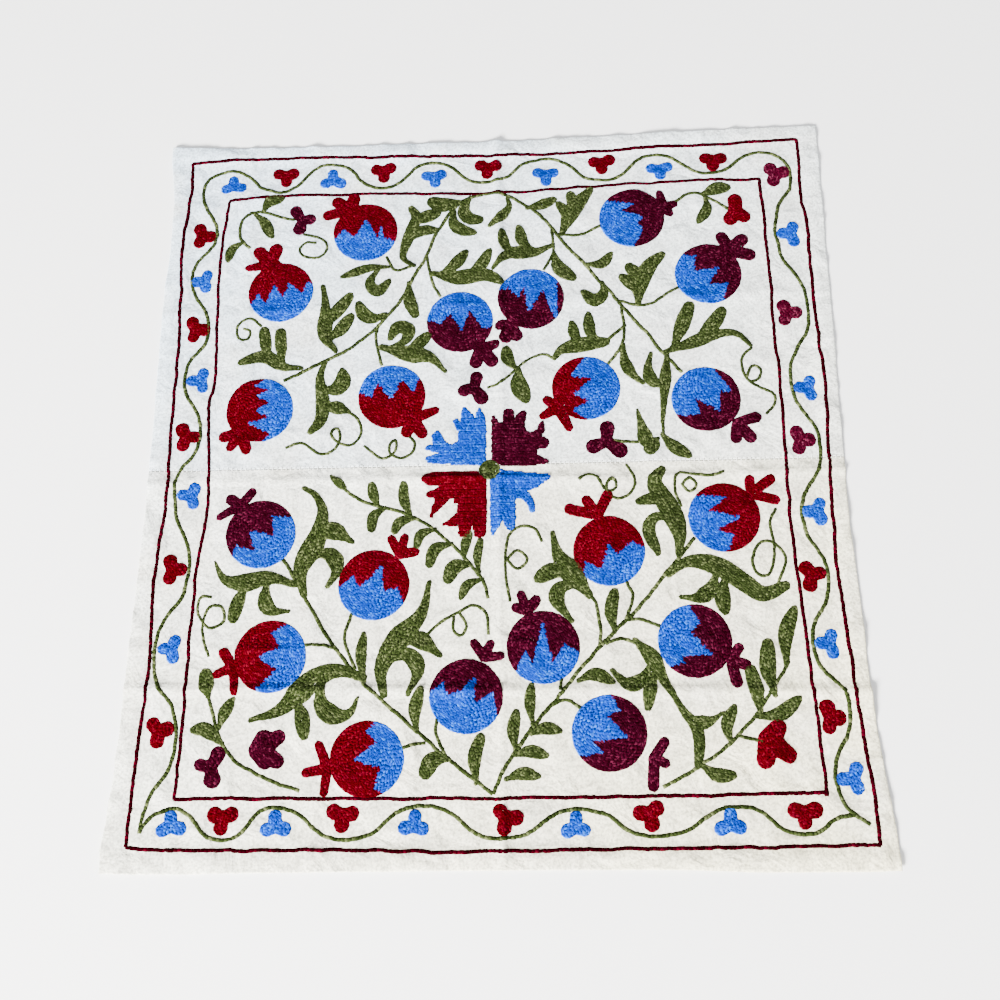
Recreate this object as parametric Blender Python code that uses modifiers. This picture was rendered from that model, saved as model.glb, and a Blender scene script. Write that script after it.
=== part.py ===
"""A suzani: two cotton panels seamed across the middle and hemmed all round, lying flat on a table.

Metres, +Z up. The origin is the middle of the underside, on the table. X runs along the seam and Y
up the hanging. Each panel is one closed sheet: an open surface that follows the edges' bows, the
pressed folds and the puckers, given its thickness upwards.
"""

import math
from collections import namedtuple

import bmesh
import bpy
import numpy as np

# Driving sizes
WIDTH = 0.904
LENGTH = 0.970
PLY = 0.0013  # cotton with its stitching
HEM_PLY = 0.0024  # the hem's turned-in cloth doubles it
HEM_WIDTH = 0.025
HEM_STEP = 0.003  # over which the hem thins to one ply
SEAM_Y = 0.001
SEAM_GAP = 0.0003
CELL = 0.021  # between two lines of the grid

# Heights that the cloth stands off the table
HEM_PUFF = 0.0026
SWELL_LENGTH = 0.23  # along an edge, from one full stretch of hem to the next
SWELL_SHARE = 0.45

# An edge's bow: how far the cloth's edge lies inside the box, at a place along that edge
Bow = namedtuple("Bow", "along inset")
LEFT_BOW = (
    Bow(-0.485, 0.011),
    Bow(-0.477, 0.003),
    Bow(-0.465, 0.000),
    Bow(-0.450, 0.001),
    Bow(-0.360, 0.007),
    Bow(-0.240, 0.009),
    Bow(-0.120, 0.012),
    Bow(0.000, 0.013),
    Bow(0.100, 0.012),
    Bow(0.220, 0.010),
    Bow(0.420, 0.009),
    Bow(0.460, 0.003),
    Bow(0.485, 0.002),
)
RIGHT_BOW = (
    Bow(-0.485, 0.010),
    Bow(-0.477, 0.002),
    Bow(-0.460, 0.000),
    Bow(-0.440, 0.001),
    Bow(-0.360, 0.008),
    Bow(-0.280, 0.012),
    Bow(-0.160, 0.013),
    Bow(-0.080, 0.016),
    Bow(-0.020, 0.014),
    Bow(0.080, 0.012),
    Bow(0.180, 0.009),
    Bow(0.300, 0.007),
    Bow(0.426, 0.004),
    Bow(0.485, 0.003),
)
TOP_BOW = (
    Bow(-0.452, 0.000),
    Bow(-0.420, 0.002),
    Bow(-0.300, 0.006),
    Bow(-0.100, 0.007),
    Bow(0.000, 0.008),
    Bow(0.150, 0.005),
    Bow(0.350, 0.001),
    Bow(0.452, 0.000),
)
BOTTOM_BOW = (
    Bow(-0.452, 0.002),
    Bow(-0.430, 0.000),
    Bow(-0.300, 0.001),
    Bow(0.000, 0.003),
    Bow(0.200, 0.003),
    Bow(0.430, 0.000),
    Bow(0.452, 0.002),
)

# Pressed folds right across: the place of the fold's crest at a place along it
Crest = namedtuple("Crest", "along place")
Fold = namedtuple("Fold", "crest height spread")
FOLDS_ACROSS = (
    Fold(
        (
            Crest(-0.45, -0.275),
            Crest(-0.20, -0.280),
            Crest(0.20, -0.284),
            Crest(0.45, -0.288),
        ),
        0.0022,
        0.012,
    ),
    Fold(
        (
            Crest(-0.45, -0.013),
            Crest(-0.10, -0.015),
            Crest(0.10, -0.020),
            Crest(0.20, -0.020),
            Crest(0.45, -0.014),
        ),
        0.0026,
        0.010,
    ),
)
FOLD_UP = Fold((Crest(-0.48, 0.010), Crest(0.00, 0.012), Crest(0.48, 0.009)), 0.0018, 0.012)

# Short wrinkles in the field, from one end of the crest to the other
Wrinkle = namedtuple("Wrinkle", "x0 y0 x1 y1 height spread")
WRINKLES = (
    Wrinkle(-0.445, -0.226, -0.365, -0.226, 0.0022, 0.022),
    Wrinkle(0.025, 0.095, 0.065, 0.145, 0.0018, 0.022),
    Wrinkle(-0.085, 0.145, -0.025, 0.085, 0.0016, 0.022),
    Wrinkle(-0.240, -0.150, -0.185, -0.155, 0.0014, 0.022),
)

# Puckers run in from an edge across its hem
Pucker = namedtuple("Pucker", "along length height")
PUCKER_SPREAD = 0.018
LEFT_PUCKERS = (
    Pucker(0.430, 0.050, 0.0030),
    Pucker(0.380, 0.045, 0.0022),
    Pucker(0.250, 0.035, 0.0014),
    Pucker(0.120, 0.040, 0.0018),
    Pucker(-0.075, 0.050, 0.0026),
    Pucker(-0.226, 0.080, 0.0030),
    Pucker(-0.350, 0.040, 0.0018),
    Pucker(-0.460, 0.050, 0.0026),
)
RIGHT_PUCKERS = (
    Pucker(0.425, 0.050, 0.0030),
    Pucker(0.320, 0.045, 0.0024),
    Pucker(0.180, 0.045, 0.0026),
    Pucker(0.035, 0.055, 0.0034),
    Pucker(-0.065, 0.055, 0.0034),
    Pucker(-0.160, 0.040, 0.0020),
    Pucker(-0.300, 0.045, 0.0022),
    Pucker(-0.440, 0.045, 0.0024),
)
TOP_PUCKERS = (
    Pucker(-0.400, 0.040, 0.0020),
    Pucker(-0.220, 0.035, 0.0016),
    Pucker(0.010, 0.045, 0.0024),
    Pucker(0.240, 0.035, 0.0016),
    Pucker(0.410, 0.040, 0.0022),
)
BOTTOM_PUCKERS = (
    Pucker(-0.390, 0.040, 0.0022),
    Pucker(-0.170, 0.035, 0.0016),
    Pucker(0.010, 0.045, 0.0024),
    Pucker(0.210, 0.035, 0.0018),
    Pucker(0.400, 0.040, 0.0024),
)

Finish = namedtuple("Finish", "colour roughness metallic")
UPPER_COTTON = Finish((0.80, 0.80, 0.79), 0.92, 0.0)
LOWER_COTTON = Finish((0.79, 0.77, 0.73), 0.92, 0.0)


def curve_through(rows, along):
    """The height at along of the smooth curve through a table's rows."""
    places = np.array([row[0] for row in rows])
    values = np.array([row[1] for row in rows])
    slopes = np.gradient(values, places)
    index = int(np.clip(np.searchsorted(places, along) - 1, 0, len(places) - 2))
    step = places[index + 1] - places[index]
    t = min(max((along - places[index]) / step, 0.0), 1.0)
    return float(
        values[index] * (2 * t**3 - 3 * t**2 + 1)
        + values[index + 1] * (3 * t**2 - 2 * t**3)
        + step * slopes[index] * (t**3 - 2 * t**2 + t)
        + step * slopes[index + 1] * (t**3 - t**2)
    )


def left_edge(y):
    return -WIDTH / 2 + max(curve_through(LEFT_BOW, y), 0.0)


def right_edge(y):
    return WIDTH / 2 - max(curve_through(RIGHT_BOW, y), 0.0)


def top_edge(x):
    return LENGTH / 2 - max(curve_through(TOP_BOW, x), 0.0)


def bottom_edge(x):
    return -LENGTH / 2 + max(curve_through(BOTTOM_BOW, x), 0.0)


def ridge(distance, spread):
    """A soft crest, 1 on its line and 0 from spread away."""
    if abs(distance) >= spread:
        return 0.0
    return math.cos(math.pi * distance / (2 * spread)) ** 2


def fade(distance, length):
    """1 at distance 0, falling smoothly to 0 at length."""
    t = min(max(distance / length, 0.0), 1.0)
    return 1 - t * t * (3 - 2 * t)


def wrinkle_lift(wrinkle, x, y):
    """A crest along a short line, dying away at both ends."""
    along_x = wrinkle.x1 - wrinkle.x0
    along_y = wrinkle.y1 - wrinkle.y0
    length = math.hypot(along_x, along_y)
    run = ((x - wrinkle.x0) * along_x + (y - wrinkle.y0) * along_y) / length
    across = ((x - wrinkle.x0) * along_y - (y - wrinkle.y0) * along_x) / length
    beyond = max(-run, run - length, 0.0)
    return wrinkle.height * ridge(across, wrinkle.spread) * fade(beyond, wrinkle.spread)


def pucker_lift(puckers, along, inwards):
    """Crests square to an edge, highest at the edge and gone at their length."""
    return sum(
        pucker.height * ridge(along - pucker.along, PUCKER_SPREAD) * fade(inwards, pucker.length)
        for pucker in puckers
    )


def hem_lift(along, inwards):
    """The puffed hem: fuller and slacker by turns along the edge."""
    fullness = 1 - SWELL_SHARE * math.sin(2 * math.pi * along / SWELL_LENGTH) ** 2
    return HEM_PUFF * fullness * ridge(inwards - HEM_WIDTH / 2, HEM_WIDTH / 2)


def lift(x, y):
    """How far the underside stands off the table."""
    height = FOLD_UP.height * ridge(x - curve_through(FOLD_UP.crest, y), FOLD_UP.spread)
    for fold in FOLDS_ACROSS:
        crest = curve_through(fold.crest, x)
        height = max(height, fold.height * ridge(y - crest, fold.spread))
    for wrinkle in WRINKLES:
        height = max(height, wrinkle_lift(wrinkle, x, y))
    for puckers, along, inwards in (
        (LEFT_PUCKERS, y, x - left_edge(y)),
        (RIGHT_PUCKERS, y, right_edge(y) - x),
        (TOP_PUCKERS, x, top_edge(x) - y),
        (BOTTOM_PUCKERS, x, y - bottom_edge(x)),
    ):
        height = max(height, pucker_lift(puckers, along, inwards), hem_lift(along, inwards))
    return height


def level(value):
    """A line of the grid at one place all along."""
    return lambda along: value


def beside(line, offset):
    """A line that keeps its distance from another one."""
    return lambda along: line(along) + offset


def between(line, other, share):
    """A line that lies a share of the way from one line to another."""
    return lambda along: (1 - share) * line(along) + share * other(along)


def filled(lines):
    """The named lines with even ones between, about a cell apart."""
    result = [lines[0]]
    for line, other in zip(lines, lines[1:]):
        count = max(round((other(0.0) - line(0.0)) / CELL), 1)
        result += [between(line, other, (step + 1) / count) for step in range(count)]
    return result


def fold_lines(fold):
    """A fold's crest and its two feet."""

    def crest(along):
        return curve_through(fold.crest, along)

    return [beside(crest, -fold.spread), crest, beside(crest, fold.spread)]


def hem_lines(edge, inwards):
    """An edge, the crown of its hem, the hem's inner line and the single cloth beside it."""
    reach = (0.0, HEM_WIDTH / 2, HEM_WIDTH, HEM_WIDTH + HEM_STEP)
    return [beside(edge, inwards * distance) for distance in reach]


def columns():
    left = hem_lines(left_edge, 1)
    right = hem_lines(right_edge, -1)
    return filled(left + fold_lines(FOLD_UP) + right[::-1])


def upper_rows():
    seam = level(SEAM_Y + SEAM_GAP / 2)
    return filled([seam] + hem_lines(top_edge, -1)[::-1])


def lower_rows():
    seam = level(SEAM_Y - SEAM_GAP / 2)
    low_fold, high_fold = FOLDS_ACROSS
    return filled(
        hem_lines(bottom_edge, 1) + fold_lines(low_fold) + fold_lines(high_fold) + [seam]
    )


def in_hem(x, y):
    depth = min(
        x - left_edge(y),
        right_edge(y) - x,
        top_edge(x) - y,
        y - bottom_edge(x),
    )
    return depth < HEM_WIDTH + HEM_STEP / 2


def panel_surface(name, rows):
    """The underside of a panel: a grid whose lines follow the hems and the folds."""
    across = columns()
    half = 0.5
    bm = bmesh.new()
    bmesh.ops.create_grid(
        bm, x_segments=len(across) - 1, y_segments=len(rows) - 1, size=half
    )
    for vert in bm.verts:
        column = across[round((vert.co.x + half) * (len(across) - 1))]
        row = rows[round((vert.co.y + half) * (len(rows) - 1))]
        x = column(row(column(0.0)))
        y = row(x)
        vert.co = (x, y, lift(x, y))
    mesh = bpy.data.meshes.new(name)
    bm.to_mesh(mesh)
    bm.free()
    return mesh


def cotton(name, finish):
    material = bpy.data.materials.new(name)
    material.use_nodes = True
    shader = material.node_tree.nodes["Principled BSDF"]
    shader.inputs["Base Color"].default_value = (*finish.colour, 1.0)
    shader.inputs["Roughness"].default_value = finish.roughness
    shader.inputs["Metallic"].default_value = finish.metallic
    return material


def add_panel(name, rows, material, collection):
    """A panel with its thickness, doubled in the hem."""
    mesh = panel_surface(name, rows)
    mesh.shade_smooth()
    mesh.materials.append(material)
    panel = bpy.data.objects.new(name, mesh)
    collection.objects.link(panel)
    hem = panel.vertex_groups.new(name="hem")
    doubled = [vert.index for vert in mesh.vertices if in_hem(vert.co.x, vert.co.y)]
    hem.add(doubled, 1.0, "REPLACE")
    thickness = panel.modifiers.new("thickness", "SOLIDIFY")
    thickness.thickness = HEM_PLY
    thickness.offset = 1.0
    thickness.vertex_group = hem.name
    thickness.thickness_vertex_group = PLY / HEM_PLY


def main():
    for old in list(bpy.data.objects):
        bpy.data.objects.remove(old)
    suzani = bpy.data.collections.new("suzani")
    bpy.context.scene.collection.children.link(suzani)
    add_panel("upper_panel", upper_rows(), cotton("upper_cotton", UPPER_COTTON), suzani)
    add_panel("lower_panel", lower_rows(), cotton("lower_cotton", LOWER_COTTON), suzani)


main()
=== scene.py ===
"""The looks of a suzani: cotton cloth in its folds, and the chain stitch that covers it.

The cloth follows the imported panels. Every stitch is a link of thread, modelled once, and laid on the
cloth in rows. Motifs are placed in centimetres from the cloth's middle, x to the right and y up.
"""

import math
from collections import namedtuple

import bpy
import numpy as np
from mathutils import Euler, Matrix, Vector
from mathutils.bvhtree import BVHTree


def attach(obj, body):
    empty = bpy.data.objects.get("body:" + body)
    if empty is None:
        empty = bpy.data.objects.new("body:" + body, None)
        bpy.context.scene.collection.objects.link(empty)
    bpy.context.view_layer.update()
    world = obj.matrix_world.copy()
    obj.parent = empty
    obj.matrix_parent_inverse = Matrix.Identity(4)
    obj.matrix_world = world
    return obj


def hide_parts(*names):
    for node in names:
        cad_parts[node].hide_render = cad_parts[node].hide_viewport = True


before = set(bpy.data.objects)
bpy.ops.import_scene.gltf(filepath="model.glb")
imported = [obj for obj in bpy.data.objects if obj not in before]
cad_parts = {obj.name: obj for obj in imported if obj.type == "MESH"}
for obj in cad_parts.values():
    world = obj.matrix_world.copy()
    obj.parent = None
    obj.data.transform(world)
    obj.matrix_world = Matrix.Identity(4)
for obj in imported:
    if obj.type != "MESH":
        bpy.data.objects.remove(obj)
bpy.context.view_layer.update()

bl_info = {
    "name": "Suzani",
    "version": (1, 0, 0),
    "blender": (4, 5, 0),
    "location": "View3D > Sidebar > Suzani",
    "description": "Builds a suzani: two cotton panels covered with chain stitch",
    "category": "Add Mesh",
}

CM = 0.01
PANELS = ("upper_panel", "lower_panel")

# The camera, fitted to the cloth's corners
CAMERA_PLACE = (0.0676, -0.4253, 1.2328)
CAMERA_TURN_DEGREES = (17.07, 2.765, -0.340)
CAMERA_LENS_MM = 37.2

# The cloth's heights are kept as a table of its top over its whole box
TABLE_STEP = 0.0025
TABLE_MARGIN = 0.012

# The cloth in metres: its hem, the seam, and how an edge rounds off
HEM_WIDTH = 0.025
HEM_PLIES = 1.75
SEAM_Y = 0.001
SEAM_GAP = 0.00015
EDGE_ROUND = 0.0022
EDGE_DROP = 0.0011
DEEPEST_TROUGH = -0.0004
# Small swells, as a length in metres and a height in millimetres
SWELLS = ((0.090, 0.40), (0.060, 0.36), (0.041, 0.28), (0.028, 0.16))
WAVES_A_SWELL = 5

# How a stitch differs from the next: its turn in radians, its shift in metres, its length,
# width and height as shares of the usual, and its tone
LINK_TURN = 0.07
LINK_SHIFT = 0.00012
LINK_LENGTHS = (1.18, 1.34)
LINK_WIDTHS = (1.30, 1.48)
LINK_HEIGHTS = (0.85, 1.12)
LINK_TONES = (0.5, 0.15)
# How deep its foot sinks, as a share of its height, and how far a line strays, in metres
LINK_SUNK = 0.05
LINE_WOBBLE = 0.00055

# The width of each kind of line, as a share of the usual
VINE_WIDTH = 1.06
MAIN_STEM_WIDTH = 1.08
BRANCH_WIDTH = 0.92
SPRIG_STEM_WIDTH = 0.98
TENDRIL_WIDTH = 0.84

# The spacing, in centimetres, of the places at which a motif's shape is felt
FILL_STEP = 0.07
# How far in from the outline, in row widths: the first round row, the ends of level rows,
# and the ground that has to be covered
FIRST_ROW_IN = 0.42
LEVEL_ROW_IN = 0.38
BARE_RIM = 0.26

# A thread's tones: dark, middle and light, and a painted highlight that the brightest stitches take
Thread = namedtuple("Thread", "dark middle light fleck")
Cotton = namedtuple("Cotton", "cool warm soiled")
THREADS = {
    "red": Thread(
        (0.044, 0.0001, 0.0015), (0.068, 0.0002, 0.003), (0.086, 0.0004, 0.006),
        (0.125, 0.002, 0.010),
    ),
    "maroon": Thread(
        (0.014, 0.0005, 0.0025), (0.026, 0.0009, 0.006), (0.038, 0.0015, 0.010),
        (0.076, 0.007, 0.023),
    ),
    "rose": Thread(
        (0.026, 0.0005, 0.004), (0.050, 0.0014, 0.011), (0.075, 0.004, 0.019),
        (0.130, 0.020, 0.045),
    ),
    "blue": Thread(
        (0.0004, 0.022, 0.210), (0.0008, 0.045, 0.390), (0.002, 0.070, 0.510),
        (0.014, 0.125, 0.620),
    ),
    "green": Thread(
        (0.011, 0.018, 0.004), (0.028, 0.040, 0.011), (0.047, 0.061, 0.021),
        (0.088, 0.106, 0.040),
    ),
    "dark": Thread(
        (0.012, 0.0003, 0.001), (0.021, 0.0003, 0.002), (0.034, 0.0004, 0.003),
        (0.055, 0.001, 0.006),
    ),
}

# Each panel's cool and warm tones, and a grey laid in patches, partly soil and partly painted shade
COTTONS = {
    "upper_panel": Cotton((0.70, 0.84, 0.97), (0.95, 0.92, 0.78), (0.79, 0.80, 0.77)),
    "lower_panel": Cotton((0.85, 0.91, 0.94), (0.93, 0.87, 0.62), (0.79, 0.76, 0.64)),
}

# A leaf: its width, the points of its middle line, how blunt its tip is, and where along the
# line it is fullest, as a share of the way from its foot
Leaf = namedtuple("Leaf", "width points tip fullest", defaults=(0.45, 0.58))
Pomegranate = namedtuple("Pomegranate", "x y facing thread neck root lobes teeth")
Trefoil = namedtuple("Trefoil", "x y facing thread")
Flower = namedtuple("Flower", "thread heart foot lobes")
Palmette = namedtuple("Palmette", "thread across up gap rise blocks strokes notch")
Disc = namedtuple("Disc", "x y radius")
Frame = namedtuple("Frame", "name corners top right bottom left")
Run = namedtuple("Run", "kind points")

# Sizes of motifs in centimetres, and shares of them
LEAF_STEP = 0.35
LEAF_FOOT = 0.34
LEAF_FULLNESS = 1.22
POINTED_TIP = 0.35
FRUIT_RADIUS = 4.35
CROWN_FOOT = 0.8
WIDE_NECK = 1.0
TOOTH_STRETCH = 1.2
TREFOIL_REACH = 1.05
TREFOIL_SPREAD_DEGREES = 108
TREFOIL_RADIUS = {"blue": 0.76, "red": 0.86, "rose": 0.86}
PALMETTE_REACH = 9.6

# A fruit's crown: the width of its neck, where it springs, and its lobes as (x, y, radius).
# Its teeth: corners of the line between its two threads, as (right, up) with the crown's side
# up, in shares of its radius.
FRUITS = (
    Pomegranate(-28.3, 25.2, 90, "red", 2.3, (-30.0, 29.6),
                ((-31.5, 31.3, 0.9), (-29.3, 31.7, 0.92), (-32.9, 28.9, 0.45)),
                ((-1.0, -0.5), (-0.7, 0.0), (-0.48, -0.32), (-0.2, 0.24), (0.06, -0.14),
                 (0.24, 0.27), (0.63, -0.03), (0.86, 0.3), (1.0, 0.15))),
    Pomegranate(-17.1, 34.0, 90, "red", 2.2, (-19.3, 37.6),
                ((-21.1, 38.8, 0.85), (-18.9, 39.2, 0.9), (-22.4, 36.8, 0.75)),
                ((-1.0, -0.25), (-0.68, 0.1), (-0.33, -0.17), (0.0, 0.38), (0.4, -0.2),
                 (0.48, 0.25), (0.6, -0.2), (1.0, -0.3))),
    Pomegranate(-4.1, 20.1, -90, "maroon", 1.3, (-1.3, 16.2),
                ((0.5, 16.7, 0.64), (0.1, 14.3, 0.85), (-2.0, 14.2, 0.85)),
                ((-1.0, 0.15), (-0.7, 0.18), (-0.28, -0.3), (-0.05, 0.25), (0.3, -0.25),
                 (0.6, 0.05), (1.0, -0.1))),
    Pomegranate(5.3, 23.2, -90, "maroon", 0.6, (2.5, 19.6),
                ((1.2, 19.3, 0.70), (1.9, 17.6, 0.85), (3.3, 17.9, 0.85)),
                ((-0.8, 0.7), (-0.37, -0.21), (0.08, 0.34), (0.2, -0.37), (0.38, -0.05),
                 (0.69, -0.33), (1.0, -0.2))),
    Pomegranate(19.1, 34.9, 0, "maroon", 1.5, (23.4, 36.4),
                ((23.0, 38.6, 0.45), (24.9, 36.9, 0.5), (24.2, 35.5, 0.55)),
                ((-0.68, -0.75), (-0.49, 0.08), (-0.29, -0.25), (-0.04, 0.3), (0.18, 0.12),
                 (0.4, 0.29), (1.0, 0.0))),
    Pomegranate(28.8, 26.1, 30, "maroon", 2.3, (31.8, 29.5),
                ((30.9, 31.5, 0.80), (33.5, 31.0, 0.90), (34.4, 28.8, 0.85)),
                ((-1.0, -0.35), (-0.72, 0.03), (-0.31, -0.24), (0.0, 0.35), (0.29, -0.17),
                 (0.56, 0.29), (1.0, -0.1))),
    Pomegranate(27.4, 8.3, -45, "maroon", 0.6, (31.0, 4.9),
                ((33.4, 5.6, 0.75), (30.8, 2.9, 0.72), (32.6, 3.0, 0.78)),
                ((-0.88, -0.45), (-0.7, 0.34), (-0.46, 0.1), (0.0, 0.45), (0.2, -0.2),
                 (0.48, 0.19), (1.0, -0.25))),
    Pomegranate(28.6, -7.4, 0, "red", 0.6, (32.0, -4.5),
                ((32.0, -2.7, 0.62), (34.6, -2.6, 0.62), (35.0, -5.3, 0.60)),
                ((-0.68, -0.85), (-0.6, 0.08), (-0.2, -0.36), (0.0, 0.36), (0.36, -0.2),
                 (0.5, 0.2), (1.0, 0.0))),
    Pomegranate(14.35, -11.4, 90, "red", 0.6, (13.1, -6.9),
                ((9.7, -6.0, 0.70), (11.8, -4.9, 0.64), (14.4, -4.3, 0.70)),
                ((-0.75, -0.75), (-0.69, -0.28), (-0.24, -0.44), (0.0, 0.12), (0.24, -0.12),
                 (0.65, 0.2), (1.0, 0.04))),
    Pomegranate(12.2, 10.2, 180, "red", 1.2, (8.6, 7.6),
                ((7.1, 8.7, 0.55), (6.6, 6.5, 0.5), (9.9, 4.8, 0.5)),
                ((-1.0, 0.0), (-0.7, 0.4), (-0.4, -0.05), (-0.17, 0.33), (0.29, -0.13),
                 (0.4, 0.4), (1.0, 0.0))),
    Pomegranate(-12.9, 9.65, -90, "red", 2.0, (-10.2, 6.5),
                ((-10.8, 4.8, 0.8), (-8.9, 4.5, 0.75), (-7.2, 7.6, 0.5)),
                ((-0.86, -0.6), (-0.62, -0.17), (-0.28, -0.5), (0.0, 0.03), (0.43, -0.44),
                 (0.6, -0.03), (1.0, -0.2))),
    Pomegranate(-30.1, 8.2, 180, "red", 2.6, (-32.3, 5.0),
                ((-34.5, 4.6, 0.75), (-33.6, 3.1, 0.55), (-31.5, 2.8, 0.7)),
                ((-1.0, -0.1), (-0.75, -0.3), (-0.4, 0.27), (-0.2, -0.28), (-0.02, 0.12),
                 (0.25, -0.24), (0.45, 0.12), (0.65, -0.18), (0.8, 0.15), (1.0, -0.1))),
    Pomegranate(-28.9, -8.5, 135, "maroon", 0.6, (-31.7, -4.7),
                ((-33.0, -3.9, 0.70), (-30.4, -3.0, 0.60), (-34.3, -6.2, 0.45)),
                ((-1.0, 0.12), (-0.72, 0.23), (-0.45, -0.19), (-0.15, 0.28), (0.24, -0.23),
                 (0.61, 0.12), (1.0, -0.24))),
    Pomegranate(-14.5, -15.2, 90, "red", 0.6, (-11.4, -11.4),
                ((-12.5, -9.4, 0.51), (-10.8, -9.3, 0.51), (-9.5, -11.1, 0.58)),
                ((-1.0, -0.05), (-0.58, 0.25), (-0.4, 0.0), (-0.1, 0.18), (0.24, 0.5),
                 (0.28, -0.13), (0.68, -0.05), (0.92, -0.65))),
    Pomegranate(-26.8, -23.8, 180, "red", 0.6, (-31.2, -25.0),
                ((-32.5, -23.3, 0.64), (-33.2, -25.9, 0.51), (-30.9, -28.0, 0.45)),
                ((-1.0, 0.32), (-0.36, -0.15), (0.0, 0.28), (0.25, -0.2), (0.64, 0.0),
                 (1.0, -0.5))),
    Pomegranate(-14.7, -35.9, 180, "red", 0.6, (-19.3, -36.9),
                ((-20.4, -34.3, 0.51), (-21.8, -37.4, 0.54), (-19.6, -39.7, 0.45)),
                ((-1.0, -0.6), (-0.77, -0.23), (-0.22, -0.34), (-0.04, 0.28), (0.44, -0.25),
                 (0.71, 0.02), (1.0, -0.27))),
    Pomegranate(-3.1, -28.8, 90, "maroon", 0.6, (-1.0, -24.2),
                ((-2.2, -22.5, 0.51), (-0.2, -22.6, 0.49), (1.0, -24.1, 0.51)),
                ((-1.0, 0.1), (-0.62, 0.32), (-0.5, 0.05), (-0.1, 0.12), (0.28, 0.5),
                 (0.24, -0.15), (0.72, 0.1), (0.9, -0.6))),
    Pomegranate(6.1, -23.1, 90, "maroon", 0.6, (4.3, -18.8),
                ((3.5, -16.7, 0.51), (5.3, -17.4, 0.64), (2.9, -18.3, 0.58)),
                ((-0.8, -0.65), (-0.5, -0.1), (-0.3, -0.37), (0.0, 0.53), (0.25, -0.37),
                 (0.6, 0.06), (1.0, -0.17))),
    Pomegranate(13.6, -33.2, 0, "maroon", 0.6, (18.6, -36.1),
                ((19.9, -34.3, 0.58), (19.9, -36.7, 0.51), (18.4, -39.2, 0.64)),
                ((-1.0, 0.04), (-0.6, 0.23), (-0.42, -0.04), (0.12, 0.41), (0.22, -0.41),
                 (0.52, -0.15), (0.62, -0.9))),
    Pomegranate(24.1, -22.6, 0, "maroon", 0.6, (28.1, -24.9),
                ((29.2, -23.5, 0.58), (29.9, -25.5, 0.64), (28.7, -27.5, 0.70)),
                ((-1.0, -0.14), (-0.5, 0.13), (-0.24, -0.1), (0.36, 0.34), (0.42, -0.33),
                 (0.6, -0.3), (0.7, -0.8))),
)

BORDER_TREFOILS = (
    # top
    Trefoil(-35.9, 41.9, 90, "blue"),
    Trefoil(-28.6, 43.4, -90, "red"),
    Trefoil(-21.9, 42.2, 90, "blue"),
    Trefoil(-14.9, 43.6, -90, "red"),
    Trefoil(-7.8, 42.4, -90, "blue"),
    Trefoil(-0.4, 43.6, -95, "red"),
    Trefoil(7.6, 42.2, -90, "blue"),
    Trefoil(15.3, 43.7, -88, "red"),
    Trefoil(23.2, 42.4, -90, "blue"),
    Trefoil(30.6, 43.6, -90, "red"),
    Trefoil(38.8, 41.0, 10, "rose"),
    # right, downwards
    Trefoil(40.1, 31.7, 180, "blue"),
    Trefoil(38.6, 20.1, 0, "rose"),
    Trefoil(40.3, 9.5, 180, "blue"),
    Trefoil(38.7, 2.4, 0, "rose"),
    Trefoil(39.9, -6.8, 180, "blue"),
    Trefoil(38.5, -14.9, 10, "red"),
    Trefoil(39.8, -23.1, 180, "blue"),
    Trefoil(39.0, -31.7, 0, "red"),
    Trefoil(41.0, -38.5, 180, "blue"),
    # bottom, leftwards
    Trefoil(35.2, -42.2, -90, "red"),
    Trefoil(26.8, -43.4, 90, "blue"),
    Trefoil(17.8, -42.2, -75, "red"),
    Trefoil(9.4, -43.7, 90, "blue"),
    Trefoil(1.5, -42.5, -110, "red"),
    Trefoil(-9.1, -43.4, 90, "blue"),
    Trefoil(-17.3, -42.2, -90, "red"),
    Trefoil(-25.0, -43.4, 90, "blue"),
    Trefoil(-31.3, -42.4, -90, "red"),
    Trefoil(-37.3, -43.3, 90, "blue"),
    # left, upwards
    Trefoil(-39.7, -32.5, 20, "red"),
    Trefoil(-38.9, -22.8, 180, "blue"),
    Trefoil(-39.8, -12.9, 0, "red"),
    Trefoil(-38.2, -3.3, 180, "blue"),
    Trefoil(-39.6, 4.7, 0, "red"),
    Trefoil(-38.2, 12.5, 180, "blue"),
    Trefoil(-39.5, 20.0, 0, "red"),
    Trefoil(-38.8, 27.2, 180, "blue"),
    Trefoil(-39.8, 34.2, 0, "red"),
)

FIELD_FLOWERS = (
    Flower("maroon", (-26.0, 36.2), 0.55,
           ((-26.9, 37.6, 0.85), (-24.9, 36.3, 0.85), (-26.2, 34.8, 0.95))),
    Flower("maroon", (-2.2, 10.6), 0.6,
           ((-1.9, 12.1, 0.8), (-3.5, 10.1, 0.8), (-1.3, 9.2, 0.95))),
    Flower("maroon", (14.6, 2.8), 0.6,
           ((14.7, 4.6, 0.95), (12.9, 2.2, 0.95), (16.2, 1.6, 1.0))),
    Flower("red", (33.1, 35.5), 0.9,
           ((33.1, 37.2, 0.95), (32.3, 34.3, 0.95), (34.1, 34.6, 0.9))),
    Flower("maroon", (-33.0, -36.7), 0.6,
           ((-32.3, -35.2, 0.9), (-34.4, -36.4, 0.7), (-32.8, -38.1, 1.0))),
    Flower("maroon", (-27.5, -34.8), 1.2,
           ((-27.0, -33.5, 1.05), (-25.3, -33.3, 0.85), (-26.7, -36.0, 1.0),
            (-25.3, -36.1, 0.85))),
    Flower("red", (31.9, -34.2), 1.3,
           ((33.0, -32.8, 1.0), (31.3, -36.4, 1.0), (34.0, -35.9, 0.9))),
)

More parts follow.
